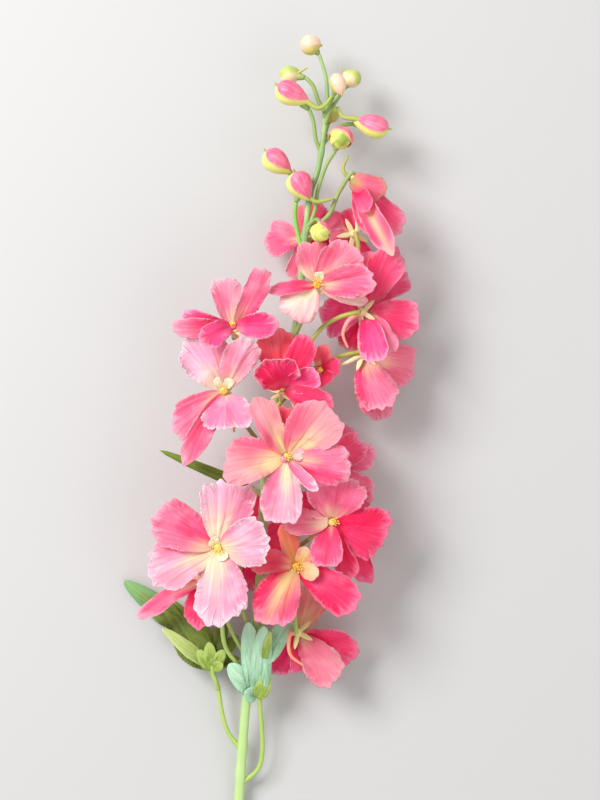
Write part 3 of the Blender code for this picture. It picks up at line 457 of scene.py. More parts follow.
# The petals: thin dyed cloth, cut round with a narrow claw, then pressed so that it has a groove along
# its middle, fine veins from the claw outwards and a ruffled rim. They are glued at the bloom's hub.
# A petal: plan x, plan y and height of its tip, its width, its roll, bow and cup, and the dye.
PETALS = {
    "a": [(-17.5, 80, 12, 19, 0, 0.06, 0.05, "rose"), (2, 97.5, 9, 12, 0, 0.05, 0.05, "dusty"),
          (11.5, 97.5, 13, 15, 0, 0.06, 0.05, "pink"), (-2, 60, 14, 11, 0, 0.05, 0.05, "rose"),
          (20, 71, -2, 15, 0, -0.27, 0.0, "hot")],
    "b": [(6.5, 79.5, 46, 19, 0, 0.08, 0.06, "blush"), (27, 76.5, 50, 22, 0, 0.06, 0.06, "blush"),
          (37.5, 61.5, 53, 17, 0, 0.06, 0.05, "rose"), (33, 48.5, 43, 7, 0, 0.03, 0.10, "cream"),
          (-16, 54, 48, 8, 20, 0.06, 0.10, "pink"), (-5.5, 41.5, 46, 20, 0, 0.10, -0.06, "cream"),
          (10, 64, 49, 5, 0, 0.05, 0.02, "yellow")],
    "c": [(43.5, 103.5, 38, 12, 0, 0.20, -0.28, "hood"), (34, 95, 46, 9, 0, 0.10, 0.10, "hot"),
          (45.5, 73, 44, 12, 6, 0.10, 0.08, "striped"), (49, 84, 24, 16, 0, 0.06, 0.05, "rose"),
          (38, 82, 33, 12, 0, 0.08, 0.10, "rose")],
    "q": [(12.5, 92, 19, 12, 0, 0.06, 0.05, "rose"), (14.5, 79, 24, 11, -16, 0.06, 0.05, "rose"),
          (25, 96, 22, 12, 0, 0.06, 0.05, "pink"), (33, 66, 14, 12, 0, 0.06, 0.05, "pink")],
    "d": [(35.5, 73, 27, 15, 0, 0.06, 0.05, "pink"), (47, 75.5, 31, 18, -8, 0.06, 0.05, "pink"),
          (53.5, 63.5, 19, 15, -20, 0.06, 0.05, "pink"), (59, 38, 34, 21, 0, 0.08, 0.05, "pink"),
          (47, 23, 40, 13, 0, 0.08, 0.05, "rose"), (39.5, 17, 47, 14, 6, 0.08, 0.08, "magenta"),
          (10.5, 40, 20, 20, 0, 0.05, 0.05, "magenta"), (23.5, 25, 15, 14, 0, 0.05, 0.05, "deep")],
    "e": [(42, -4.5, 31, 21, 0, 0.08, -0.05, "rose"), (34.5, -6.5, 23, 12, 0, 0.05, 0.05, "pink"),
          (42.5, -12, 15, 14, 0, 0.05, 0.05, "rose"), (59, 15, 12, 21, 0, 0.05, 0.05, "blush"),
          (47, 33, -2, 17, 0, -0.27, 0.0, "rose")],
    "f": [(-37.5, 61, 44, 16, 0, 0.06, 0.08, "pale"), (-16.5, 65.5, 54, 12, 6, 0.06, 0.15, "rose"),
          (-12, 38, 50, 13, 0, 0.08, 0.05, "magenta"), (-60.5, 41, 44, 10, 0, 0.06, 0.10, "magenta"),
          (-62.5, 35.5, 50, 10, 0, 0.06, 0.10, "rose"), (-49, 29, 57, 12, 0, 0.10, 0.08, "magenta")],
    "g": [(-53, 31.5, 46, 26, 0, 0.06, 0.05, "lilac"), (-25, 31.5, 50, 17, 0, 0.06, 0.06, "pale"),
          (-35.5, -15.5, 57, 25, 0, 0.12, -0.08, "orchid"), (-63.5, -17, 42, 20, 0, 0.06, 0.05, "rose"),
          (-56.5, -30.5, 47, 12, -18, 0.06, 0.12, "rose"), (-42, 11, 48.5, 5, 0, 0.05, 0.02, "yellow"),
          (-34, 11, 49, 5, 0, 0.05, 0.02, "yellow")],
    "h": [(-14, 22, 58, 21, 0, 0.10, 0.05, "deep"), (9, 13.5, 50, 12.5, 0, 0.10, 0.08, "magenta"),
          (17.5, -3, 53, 12, 0, 0.08, 0.08, "hot"), (-12, 35, 38, 21, 0, 0.05, 0.05, "coral"),
          (5, 33, 40.5, 14, 0, 0.05, 0.05, "hot")],
    "s": [(12.5, 27.5, 34, 8, 0, 0.05, 0.10, "coral"), (20.5, 18, 32, 9, 0, 0.08, 0.10, "hot"),
          (15, 8.5, 32, 10, 0, 0.08, 0.10, "hot")],
    "i": [(-22, 3.5, 59, 14, 0, 0.05, 0.05, "salmon"), (-8, -1.5, 49, 14, 0, 0.05, 0.05, "coral"),
          (14.5, -4, 57, 27, 0, 0.05, 0.05, "salmon"), (26.5, -35, 54, 20, 0, 0.08, -0.05, "rose"),
          (9, -45.5, 59, 6, 0, 0.08, 0.10, "orchid"), (-11.5, -62.5, 55, 21, 0, 0.08, -0.05, "pale"),
          (-39, -31.5, 56, 23, 0, 0.07, -0.05, "salmon"), (2.5, -26, 53.5, 6, 0, 0.05, 0.10, "cream")],
    "j": [(32, -20, 36, 16, 0, 0.06, 0.05, "pink"), (38.5, -28, 28, 14, 0, 0.06, 0.05, "rose"),
          (35, -51, 33, 18, 0, 0.06, 0.05, "rose"), (24, -54, -2, 17, 0, -0.27, 0.0, "hot"),
          (22, -10, 8, 16, 0, 0.05, 0.05, "pink")],
    "k": [(18.5, -38, 48, 30, 0, 0.06, 0.05, "rose"), (-8, -60, 46, 14, 0, 0.06, 0.05, "blush"),
          (12.5, -84.5, 49, 16, 0, 0.06, 0.05, "pink"), (26, -89, 38, 11, 0, 0.04, 0.05, "hot"),
          (36, -91, 26, 12, -14, 0.04, 0.0, "hot"), (44, -69, 38, 27, 0, 0.07, -0.05, "hot"),
          (2, -45, 41, 16, 0, 0.06, 0.05, "hot")],
    "l": [(-34.5, -39, 45, 27, 0, 0.06, 0.05, "lilac"), (-74, -58, 50, 23, 0, 0.07, -0.05, "rose"),
          (-76.5, -87, 47, 25, 0, 0.07, -0.05, "pale"), (-38.5, -111.5, 49, 27, 0, 0.09, -0.06, "lilac"),
          (-16, -69, 62, 25, 0, 0.10, -0.06, "lilac"), (-44.5, -69, 50.5, 6, 0, 0.05, 0.02, "yellow"),
          (-37.5, -80, 51, 6, 0, 0.05, 0.02, "yellow")],
    "m": [(-8, -61.5, 39, 10, 0, 0.04, 0.05, "orange"), (-26, -79, 44, 13, 0, 0.06, 0.05, "coral"),
          (-17, -111, 48, 24, 0, 0.07, -0.05, "flame"), (28.5, -103, 42, 19, 0, 0.06, -0.05, "hot"),
          (9, -87, 49, 9, 0, 0.06, 0.05, "apricot"), (5, -74.5, 46, 9, 0, 0.05, 0.05, "apricot")],
    "n": [(-14.5, -136.5, 13, 15, -16, 0.06, 0.05, "deep"), (1, -137, 18, 12, -16, 0.05, 0.05, "hot"),
          (17.5, -141, 25, 20, 0, 0.08, -0.05, "dusty"), (27.5, -127.5, 15, 19, 0, 0.06, 0.05, "hot"),
          (9, -92, 17, 17, 0, -0.03, 0.05, "peach")],
    "o": [(-27, -96, 15, 16, 0, 0.05, 0.05, "deep"), (-24, -43, 18, 15, 0, 0.05, 0.05, "hot"),
          (-4, -66, 7, 17, 0, 0.05, 0.05, "hot"), (-51, -60, 6, 17, 0, 0.05, 0.05, "hot")],
    "p": [(-80.5, -108, 22, 9, 0, 0.06, 0.15, "rose"), (-50, -114, 28, 19, 0, 0.05, 0.05, "hot"),
          (-74, -77, -2, 19, 0, -0.27, 0.0, "rose"), (-50, -64, 17, 16, 0, 0.05, 0.05, "rose")],
}
# A dye: the colours of the claw, the body, its deeper side and the rim, how far the claw's colour runs
# out, and how crinkled the rim is, which also sets how strong the painted highlight on its crimps is.
DYES = {
    "pale": (tint(255, 246, 196), tint(255, 182, 204), tint(254, 122, 162), tint(255, 218, 230), 0.36, 2.2),
    "lilac": (tint(255, 250, 204), tint(254, 196, 218), tint(253, 138, 180), tint(255, 234, 243), 0.41, 3.2),
    "orchid": (tint(255, 232, 190), tint(254, 160, 196), tint(251, 112, 162), tint(255, 234, 243), 0.18, 3.6),
    "rose": (tint(255, 220, 184), tint(255, 134, 170), tint(255, 64, 126), tint(254, 188, 210), 0.29, 1.7),
    "blush": (tint(255, 222, 186), tint(254, 136, 160), tint(250, 96, 134), tint(253, 160, 180), 0.38, 1.4),
    "pink": (tint(254, 184, 168), tint(255, 98, 148), tint(255, 38, 106), tint(254, 168, 198), 0.20, 1.5),
    "hot": (tint(253, 136, 146), tint(255, 64, 124), tint(253, 16, 88), tint(254, 142, 178), 0.14, 1.4),
    "flame": (tint(252, 238, 160), tint(255, 104, 146), tint(253, 28, 96), tint(254, 160, 190), 0.60, 1.5),
    "magenta": (tint(254, 160, 180), tint(255, 96, 162), tint(251, 44, 122), tint(255, 184, 214), 0.16, 1.6),
    "deep": (tint(253, 96, 136), tint(254, 44, 122), tint(249, 6, 94), tint(255, 184, 210), 0.10, 1.6),
    "coral": (tint(254, 214, 164), tint(255, 108, 126), tint(252, 66, 102), tint(253, 146, 158), 0.26, 1.2),
    "salmon": (tint(255, 240, 172), tint(255, 178, 182), tint(255, 110, 146), tint(254, 174, 192), 0.38, 1.2),
    "orange": (tint(250, 176, 96), tint(252, 152, 112), tint(250, 126, 104), tint(253, 156, 150), 0.34, 1.0),
    "dusty": (tint(250, 200, 168), tint(250, 150, 172), tint(244, 100, 134), tint(248, 184, 196), 0.20, 1.2),
    "cream": (tint(255, 242, 198), tint(255, 226, 208), tint(254, 184, 190), tint(254, 170, 190), 0.50, 1.0),
    "yellow": (tint(255, 246, 184), tint(255, 248, 214), tint(255, 238, 184), tint(255, 232, 222), 0.50, 0.6),
    "striped": (tint(255, 232, 176), tint(255, 120, 160), tint(253, 70, 128), tint(255, 190, 204), 0.80, 1.4),
    "apricot": (tint(255, 206, 116), tint(255, 204, 150), tint(254, 172, 132), tint(255, 196, 172),
                0.45, 1.2),
    "peach": (tint(246, 220, 166), tint(248, 170, 160), tint(240, 128, 132), tint(250, 164, 176), 0.40, 1.2),
    "hood": (tint(196, 190, 104), tint(250, 128, 156), tint(246, 92, 134), tint(236, 178, 150), 0.30, 0.8),
}
CLOTH_SLOTS = {"a": "rose", "b": "pale", "c": "hot", "q": "rose", "d": "rose", "e": "rose", "f": "rose",
               "g": "pale", "h": "hot", "s": "hot", "i": "coral", "j": "coral", "k": "rose", "l": "pale",
               "m": "coral", "n": "hot", "o": "hot", "p": "rose"}
# The petals whose dye is plainly deeper on one side, seen from the claw: 1 for the right side and -1 for
# the left.
DEEPER = {"i0": -0.6, "i5": 0.9, "i2": -1, "i3": 0.6, "i6": 1, "l0": 0.8, "l1": 1, "l2": 1, "l4": -0.8,
          "m2": 1, "h0": -1, "h2": 1, "e0": 1, "g0": 0.8, "g1": -0.4, "k5": -0.6, "d6": 0.6, "b1": -0.8,
          "b5": -0.8, "f2": -1}
# How much more ragged and frilled a petal's rim is than most, and how high a rim is turned up.
FRILLS = {"f1": 2.4, "f3": 1.6, "f4": 1.6, "e0": 1.8, "l0": 1.5, "l2": 1.4, "l3": 1.3, "l4": 1.5, "b2": 1.6,
          "g2": 1.5, "k0": 1.5, "k5": 1.4, "i3": 1.3, "n2": 1.8, "m3": 1.4, "c2": 1.6}
TURNED_UP = {"h0": 2.6, "h2": 1.8, "h1": 1.0, "g2": 1.0, "l2": 1.0, "l4": 1.2, "k4": 1.5, "k3": 1.2,
             "d5": 1.6, "m3": 1.0, "c2": 1.5, "i4": 1.0}
CLOTH_THICK = 0.34
PETAL_FOOT = 1.8
CLAW_WIDE = 2.6
SHOULDER = 0.7
WIDENING = 0.66
HOOD_WIDENING = 0.3
HOOD_FOOT = (25.2, 110.6, 34.5)
LEAN = 8.0
CELL = 0.72
RAGGED = 0.034
TOOTHED = 0.012
RIM_WAVE = 0.050
CREASES = 2
CREASE_DEEP = 0.022
PLEATS = 5
PLEAT_DEEP = 0.8
FRILL_DEEP = 0.30
SIDE_CURL = (-0.5, 2.0)
GROOVE_DEEP = 0.5
GROOVE_WIDE = 0.10
# What share of the light the cloth lets through, and the dyes that let less through.
GLOW = 0.32
DENSE = {"yellow": 0.04, "cream": 0.16, "apricot": 0.12, "blush": 0.14}


def petal_cloth(name, glow, claw, body, cloud, rim, reach, crinkle):
    """Dyed cloth: the claw's colour runs out in streaks, one side is deeper, the crimped rim is paler and
    painted highlights lie on its crimps.
    """
    made, shader, start = new_finish(name, 0.62)
    along = start.carried("along")
    across = start.carried("across")
    around = start.carried("around")
    edge = start.carried("rim")
    shade = start.carried("shade")
    seed = start.carried("seed")
    fan = start.node("CombineXYZ", {}, {"X": across * 7.0, "Y": along * 1.1, "Z": seed})
    thin = start.node("CombineXYZ", {}, {"X": across * 30.0, "Y": along * 2.2, "Z": seed + 20.0})
    crimp_at = start.node("CombineXYZ", {}, {"X": around * 13.0, "Y": edge * 1.3, "Z": seed + 80.0})
    streak = start.mottle(fan, 1.0, 3.0)
    fibre = start.mottle(thin, 1.0, 2.0)
    crimp = start.mottle(crimp_at, 1.0, 2.0)
    where = start.node("TexCoord", {}, {}, "Object")
    patch = start.mottle(where, 75.0, 3.0)
    colour = (shade + (streak - 0.5) * 1.0 + (patch - 0.5) * 1.6).rises(-0.55, 0.8).mix(body, cloud)
    colour = ((1.0 - patch).rises(0.52, 0.72) * 0.35).mix(colour, rim)
    colour = (fibre.rises(0.5, 0.72) * 0.18).mix(colour, rim)
    colour = ((1.0 - fibre).rises(0.52, 0.74) * 0.18).mix(colour, cloud)
    wash = edge + (crimp - 0.5) * 0.9 + (fibre - 0.5) * 0.5
    colour = (wash.rises(0.36, 0.92) * 0.8).mix(colour, rim)
    colour = (edge.rises(0.84, 0.96) * 0.5).mix(colour, rim)
    # Painted highlight: the crimps' crests are lightened towards the rim colour; the same mask also bumps
    # them.
    crimp_fold_and_highlight = crimp.rises(0.50, 0.62) * edge.rises(0.08, 0.6)
    colour = (crimp_fold_and_highlight * min(0.8, crinkle * 0.22)).mix(colour, rim)
    narrowing = 0.2 + max(0.0, reach - 0.4) * 3.0
    claw_ends = along + shade * 0.3 + (0.5 - streak) * 0.5 + start.math("ABSOLUTE", across) * narrowing
    colour = (1.0 - claw_ends.rises(reach * 0.35, reach * 1.8)).mix(colour, claw)
    vein = start.math("ABSOLUTE", start.math("SINE", across * 19.0 + streak * 3.0 + seed))
    vein = (1.0 - vein.rises(0.0, 0.4)) * (1.0 - edge.rises(0.5, 1.0))
    colour = (vein * 0.2).mix(colour, cloud)
    paint_into(shader, colour)
    shader.inputs["Sheen Weight"].default_value = 0.1
    shader.inputs["Specular IOR Level"].default_value = 0.35
    weave = start.mottle(where, 3200.0, 2.0)
    bump_into(shader, streak * 0.5 + fibre * 0.3 + crimp_fold_and_highlight * crinkle * 0.5 - vein * 0.25 + weave * 0.1, 0.7, 0.6)
    through = start.node("BsdfTranslucent", {}, {"Color": body})
    both = start.node("MixShader", {}, {0: glow, 2: through})
    start.tree.links.new(shader.outputs[0], both.socket.node.inputs[1])
    start.tree.links.new(both.socket, start.tree.nodes["Material Output"].inputs["Surface"])
    return made


CLOTH = {name: petal_cloth("cloth_" + name, DENSE.get(name, GLOW), *dye) for name, dye in DYES.items()}


def waves(rng, value, counts, power):
    """A sum of waves with random starts, of about unit height."""
    total = 0.0
    for count in counts:
        total = total + np.sin(value * count + rng.uniform(0, math.tau)) / count ** power
    return total


def laid(flat, foot, tip, roll):
    """A flat form, whose y runs towards its tip, laid from foot to tip and rolled about that line."""
    along = (tip - foot).normalized()
    face = (UP - along * along.z).normalized()
    turn = Matrix((along.cross(face), along, face)).transposed() @ Matrix.Rotation(math.radians(roll), 3, "Y")
    return flat @ np.array(turn).T + np.array(foot)


def give_thickness(sheet, thick):
    """Give a sheet of cloth its thickness, half to each side."""
    cloth = sheet.modifiers.new("Cloth", "SOLIDIFY")
    cloth.thickness = thick * MM
    cloth.offset = 0.0


def petal(name, foot, tip, wide, roll, bow, cup, deeper, frill, turned_up, widening, finish):
    """One petal from foot to tip: a cloth sheet with its groove, its pleats and its ruffled rim."""
    rng = random.Random(name)
    long = (tip - foot).length / MM
    soft = min(1.0, wide / 15)
    columns = max(9, 2 * round(wide / CELL / 2) + 1)
    rows = max(14, round(long / CELL))
    u, v = np.meshgrid(np.linspace(0, 1, rows) ** 0.85, np.linspace(-1, 1, columns), indexing="ij")
    around = np.arctan2(v * wide / 2, (u - 0.35) * long)
    edge = np.maximum(u ** 5, np.abs(v) ** 4 * np.minimum(1, 1.6 * u))
    claw = CLAW_WIDE / wide
    ragged = RAGGED * waves(rng, around, [3, 5, 8, 13], 0.25)
    ragged = ragged + TOOTHED * frill * waves(rng, around, [27, 41], 0.0)
    notch_at = rng.uniform(-0.45, 0.45)
    ragged -= rng.choice([0.0, 0.03, 0.07]) * np.exp(-((around - notch_at) / 0.12) ** 2)
    side = claw + (1 - claw) * np.sin(np.pi / 2 * u) ** widening
    spread = (1 - u * u) * v + u * u * np.sin(v * np.pi / 2)
    crest = SHOULDER + (1 - SHOULDER) * np.cos(v * np.pi / 2)
    across = wide / 2 * side * spread * (1 + ragged * edge * 1.2)
    across += rng.uniform(-0.035, 0.035) * long * np.sin(np.pi * u)
    ahead = long * u * crest * (1 + ragged * edge)
    lift = RIM_WAVE * wide * np.maximum(u ** 2, v ** 2 * u) * waves(rng, around, [3, 5, 7], 0.4)
    for _ in range(CREASES):
        long_wave = rng.uniform(13, 24)
        heading = rng.uniform(0, math.tau)
        phase = (across * math.cos(heading) + u * long * math.sin(heading)) / long_wave * math.tau
        crease_lift = CREASE_DEEP * long_wave * soft * np.sin(phase + rng.uniform(0, math.tau))
        lift += crease_lift * np.minimum(1, 3 * u)
    for _ in range(PLEATS):
        middle = rng.uniform(-0.8, 0.8)
        narrow = rng.uniform(0.05, 0.14)
        ridge = np.exp(-((v - middle) / narrow) ** 2) * np.sin(np.pi * u * 0.75)
        lift += rng.uniform(-PLEAT_DEEP, PLEAT_DEEP) * soft * ridge
    lift += FRILL_DEEP * frill * soft * edge * waves(rng, around, [17, 26, 37], 0.3)
    lift += turned_up * np.clip((edge - 0.25) / 0.75, 0, 1) ** 2
    lift += rng.uniform(*SIDE_CURL) * soft * np.maximum(0, v - 0.45) ** 2 * 3 * u
    lift += rng.uniform(*SIDE_CURL) * soft * np.maximum(0, -v - 0.45) ** 2 * 3 * u
    heading = deeper or rng.uniform(-0.8, 0.8)
    shade = heading * v * 0.8 + 0.5 * (0.6 - u) + 0.2 * waves(rng, v * 2 + u, [1.5, 2.7], 0.5)
    rise = bow * long * np.sin(np.pi * u) + cup * wide * side * v * v + lift
    rise -= GROOVE_DEEP * np.exp(-(v / GROOVE_WIDE) ** 2) * (1 - u) * np.minimum(1, 5 * u)
    points = laid(np.stack([across, ahead, rise], axis=-1) * MM, foot, tip, roll + LEAN)
    points[..., 2] = np.maximum(points[..., 2], CLOTH_THICK / 2 * MM)
    return skin(points, False, finish, along=u, across=v, around=around, rim=edge, shade=shade,
                seed=np.full_like(u, rng.uniform(0, 90)))


for key, petals in PETALS.items():
    hub, looks = BLOOMS[key][:2]
    hub = place(*hub)
    looks = Vector(looks).normalized()
    dyes = sorted({row[-1] for row in petals})
    parts = []
    for number, (x, y, z, wide, roll, bow, cup, dye) in enumerate(petals):
        tip = place(x, y, z)
        out = (tip - hub) - looks * (tip - hub).dot(looks)
        foot = hub + out.normalized() * PETAL_FOOT * MM
        if dye == "hood":
            foot = place(*HOOD_FOOT)
        own = f"{key}{number}"
        marks = DEEPER.get(own, 0), FRILLS.get(own, 1.0), TURNED_UP.get(own, 0.0)
        widening = HOOD_WIDENING if dye == "hood" else WIDENING
        parts.append(petal(f"petal_{key}_{number}", foot, tip, wide, roll, bow, cup, *marks, widening,
                           dyes.index(dye)))
    node = f"bloom_{key}_petals"
    bloom = add_piece(f"petals_{key}", parts, [CLOTH[dye] for dye in dyes], "cloth_" + CLOTH_SLOTS[key], node)
    give_thickness(bloom, CLOTH_THICK)


# The stamens: a small moulded button glued at the bloom's hub, and a brush of stiff yellow threads that
# end in pollen tips. Closed and turned blooms show short threads, and one bloom has a pink knob beside it.
STAMENS = 11
BUTTON_RADIUS = 1.8
BUTTON_DOME = [(-0.9, 1.7), (0.0, BUTTON_RADIUS), (0.7, 1.8), (1.2, 1.2), (1.45, 0.4)]
THREAD_RADIUS = 0.2
THREAD_LONG = 3.8
# The blooms whose button isn't cream, and those whose threads keep only a share of their length.
OWN_BUTTONS = {"m": "orange", "b": "orange", "s": "coral", "f": "coral"}
SHORT_THREADS = {"f": 0.25, "s": 0.2, "j": 0.4, "h": 0.3, "d": 0.6, "e": 0.6, "q": 0.6, "g": 0.5, "i": 0.7,
                 "k": 0.7}
TURN_EACH = 2.4
POLLEN_RADIUS = 0.34
POLLEN_GRAIN = [(-0.5, 0.15), (-0.2, POLLEN_RADIUS), (0.35, POLLEN_RADIUS), (0.7, 0.12)]
KNOB_BLOOM = "i"
KNOB_AT = (-8.2, -29.6, 51.5)
KNOB_DOME = [(-1.2, 0.5), (-0.6, 1.3), (0.6, 1.5), (1.5, 1.0), (2.0, 0.3)]


def speckled(name, first, second, scale):
    """Matt plastic in two close colours with a fine rough grain."""
    made, shader, start = new_finish(name, 0.6)
    where = start.node("TexCoord", {}, {}, "Object")
    speck = start.mottle(where, scale, 3.0)
    paint_into(shader, speck.rises(0.35, 0.7).mix(first, second))
    bump_into(shader, speck, 0.45, 0.25)
    return made


gold = speckled("stamen_gold", tint(255, 236, 128), tint(250, 206, 70), 1500.0)
BUTTONS = {
    "cream": speckled("button_cream", tint(250, 236, 150), tint(232, 216, 104), 700.0),
    "orange": speckled("button_orange", tint(255, 200, 70), tint(250, 150, 40), 700.0),
    "coral": speckled("button_coral", tint(252, 134, 134), tint(240, 92, 104), 700.0),
}
knob_pink = speckled("knob_pink", tint(250, 150, 178), tint(244, 116, 160), 600.0)

for key, (hub, looks, *_) in BLOOMS.items():
    rng = random.Random("stamens" + key)
    hub = place(*hub)
    looks = Vector(looks).normalized()
    thread_long = THREAD_LONG * SHORT_THREADS.get(key, 1.0)
    parts = [turned(hub, looks, BUTTON_DOME, 16, finish=1)]
    aside = looks.orthogonal().normalized()
    for number in range(STAMENS):
        out = Matrix.Rotation(number * TURN_EACH, 3, looks) @ aside
        spread = math.sqrt((number + 0.5) / STAMENS)
        root = hub + (looks * 1.0 + out * 1.1 * spread) * MM
        top = root + (looks + out * 0.5 * spread).normalized() * thread_long * rng.uniform(0.75, 1.05) * MM
        bend = root.lerp(top, 0.5) + (out * 0.3 + looks * 0.2) * MM
        thread = smooth_line([root, bend, top], 4)
        parts.append(bar(thread, [THREAD_RADIUS * MM] * len(thread), 5))
        parts.append(turned(top, (top - bend).normalized(), POLLEN_GRAIN, 6))
    if key == KNOB_BLOOM:
        parts.append(turned(place(*KNOB_AT), looks, KNOB_DOME, 14, finish=2))
    button = BUTTONS[OWN_BUTTONS.get(key, "cream")]
    add_piece(f"stamens_{key}", parts, [gold, button, knob_pink], "stamen_gold", f"bloom_{key}_stamens")


# The buds: small moulded eggs on slim stalks near the tip. Each shows the closed sepals that wrap it,
# pink over lime, peach or pale green, and most have a spur at the stalk's end.
# A bud: its dye, the way its underside faces, its middle, half its length and width, the way its long
# axis lies, the points that its stalk passes and the points that its spur passes.
BUDS = {
    "bud_1": ("peach", (0.3, -1, -0.5), (5.3, 177.6, 25), (5.3, 5.2), (1, 0.3, 0), [],
              [(9.5, 177.5, 25), (11.2, 177, 25)]),
    "bud_2": ("lime", (0, -1, 0), (-5, 162.5, 23.5), (5.4, 4.8), (1, 0.2, 0),
              [(12.6, 144, 26.5), (9.5, 149, 26), (6.5, 157, 26), (2.9, 161.2, 25.4)],
              [(-1, 163.5, 25.5), (1.5, 165, 27), (3.6, 166, 27.5)]),
    "bud_3": ("pink", (-0.6, -0.8, -0.75), (-3.5, 152.5, 32), (9.3, 6.0), (0.87, -0.4, 0),
              [(10.6, 124, 28), (8, 130, 28.5), (6.7, 139, 29), (4.8, 145, 29.5)],
              [(3, 149.5, 32.5), (8.5, 146, 33), (12.5, 147.5, 33), (16, 152, 33)]),
    "bud_4": ("lime", (0, -1, 0), (25.8, 161, 21), (4.9, 4.8), (-0.7, 0.7, 0),
              [(12.6, 138, 27), (15.2, 145, 29), (18.4, 150, 26), (22.2, 155.8, 21.5)],
              [(23, 164, 21), (20.6, 165.7, 21)]),
    "bud_5": ("peach", (0, -1, -0.4), (19, 158, 33), (5.6, 4.1), (0.3, -0.9, 0),
              [(12.8, 141, 27), (14.6, 147, 29.5), (16.8, 152.3, 31)], [(20.5, 154, 34), (21, 152, 35)]),
    "bud_6": ("olive", (0, -1, 0), (15.5, 143, 20), (4.6, 4.4), (0.6, 0.8, 0),
              [(12, 130, 27), (12.8, 134, 22), (14, 138, 20)], []),
    "bud_7": ("pink", (-0.1, -1, -0.6), (35, 137.3, 27), (9.6, 5.8), (-0.95, 0.3, 0),
              [(11.3, 128, 27.7), (16, 133.5, 25), (21.5, 137.4, 23.3), (26.2, 138, 22.6)],
              [(28, 140.5, 28.5), (21.5, 141.6, 28), (18.6, 146.5, 27)]),
    "bud_8": ("closed", (-0.5, -0.4, 1), (20.3, 130.7, 35), (5.7, 5.3), (0.1, -0.3, 0.95),
              [(2.6, 82, 30), (7.2, 94, 31.8), (9, 105, 32), (13, 117, 32.3), (17.6, 124.6, 32.8)], []),
    "bud_9": ("pink", (-0.5, -0.9, -0.5), (-11, 118.4, 27), (8.6, 6.0), (0.8, -0.6, 0),
              [(4.4, 99, 29), (1.5, 106, 24), (-3.2, 112.3, 25)], []),
    "bud_10": ("pink", (-1, -0.3, -0.9), (0.5, 106.5, 35.5), (8.0, 6.4), (0.5, -0.85, 0),
               [(1.6, 72, 30.5), (-1.2, 84, 29.5), (-2.4, 92, 30.5), (-2, 98.8, 32.5)],
               [(5, 101, 35), (9, 99, 35), (17, 100.8, 34)]),
    "bud_11": ("closed", (0.3, -1, 0), (10, 84, 51), (5.0, 4.8), (-0.15, 0.2, 0.95),
               [(3, 86, 29.7), (7.5, 90, 34), (9.5, 89.5, 41), (10, 87.4, 45.6)], []),
}
# A bud's dye: what shows over, its deeper clouds, the hood's lip, what shows under, and how soft the
# change between them is.
BUD_DYES = {
    "pink": (tint(252, 138, 164), tint(244, 92, 132), tint(236, 190, 150), tint(226, 226, 126), 0.05),
    "closed": (tint(236, 236, 136), tint(198, 210, 88), tint(244, 240, 160), tint(224, 226, 120), 0.2),
    "lime": (tint(196, 204, 122), tint(176, 192, 96), tint(206, 204, 140), tint(238, 216, 170), 0.5),
    "olive": (tint(202, 204, 108), tint(176, 184, 80), tint(210, 208, 124), tint(200, 196, 98), 0.5),
    "peach": (tint(250, 216, 190), tint(246, 190, 160), tint(226, 190, 140), tint(206, 196, 104), 0.45),
}
# The hood sepal that stands round a closed bud: the way its middle faces, its radius and its opening.
HOODS = {"bud_8": ((0.25, 0.55, -0.35), 6.4, 1.62), "bud_11": ((0.75, 0.6, -0.1), 5.5, 1.1)}
HOOD_LIP = 0.05
HOOD_ANGLE = 1.6
HOOD_THICK = 0.6
BUD_POINT = 0.2
SEPALS = 5
SEPAL_STEP = 0.18
BUD_STALK_RADIUS = 1.0
BUD_STALK_FLARE = 0.4
BUD_SPUR_TAPER = 0.68
PINK_SPUR_ROOT = 2.1
SMALL_SPUR_ROOT = 1.2
BUD_ROWS = 44
BUD_COLUMNS = 50
HOOD_ROWS = 14
HOOD_COLUMNS = 40
GREEN_TIPPED = "bud_8"
FRESH_STALKED = "bud_10"
APEX_GREEN = tint(134, 158, 52)


def bud_skin(name, over, deep, lip, under, soft):
    """Moulded plastic: a hood over a belly, with the hood's lip and the sepals' steps showing."""
    made, shader, start = new_finish(name, 0.48)
    where = start.node("TexCoord", {}, {}, "Object")
    cloud = start.mottle(where, 220.0, 3.0)
    streak = start.mottle(start.node("CombineXYZ", {}, {"X": start.carried("around") * 5.0,
                                                        "Y": start.carried("along")}), 1.0, 3.0)
    hood = start.carried("hood") + (cloud - 0.5) * 0.25
    step = start.carried("step")
    colour = (cloud * 0.5 + streak * 0.5).rises(0.36, 0.62).mix(over, deep)
    colour = (1.0 - hood.rises(0.05, 0.25)).mix(colour, lip)
    colour = (1.0 - hood.rises(-soft, soft)).mix(colour, under)
    colour = ((1.0 - step).rises(0.45, 1.0) * 0.7).mix(colour, deep)
    colour = (start.carried("apex").rises(0.5, 0.95) * 0.8).mix(colour, APEX_GREEN)
    paint_into(shader, colour)
    grain = start.mottle(where, 1800.0, 2.0)
    bump_into(shader, cloud + streak * 0.5 + grain * 0.3, 0.35, 0.3)
    return made


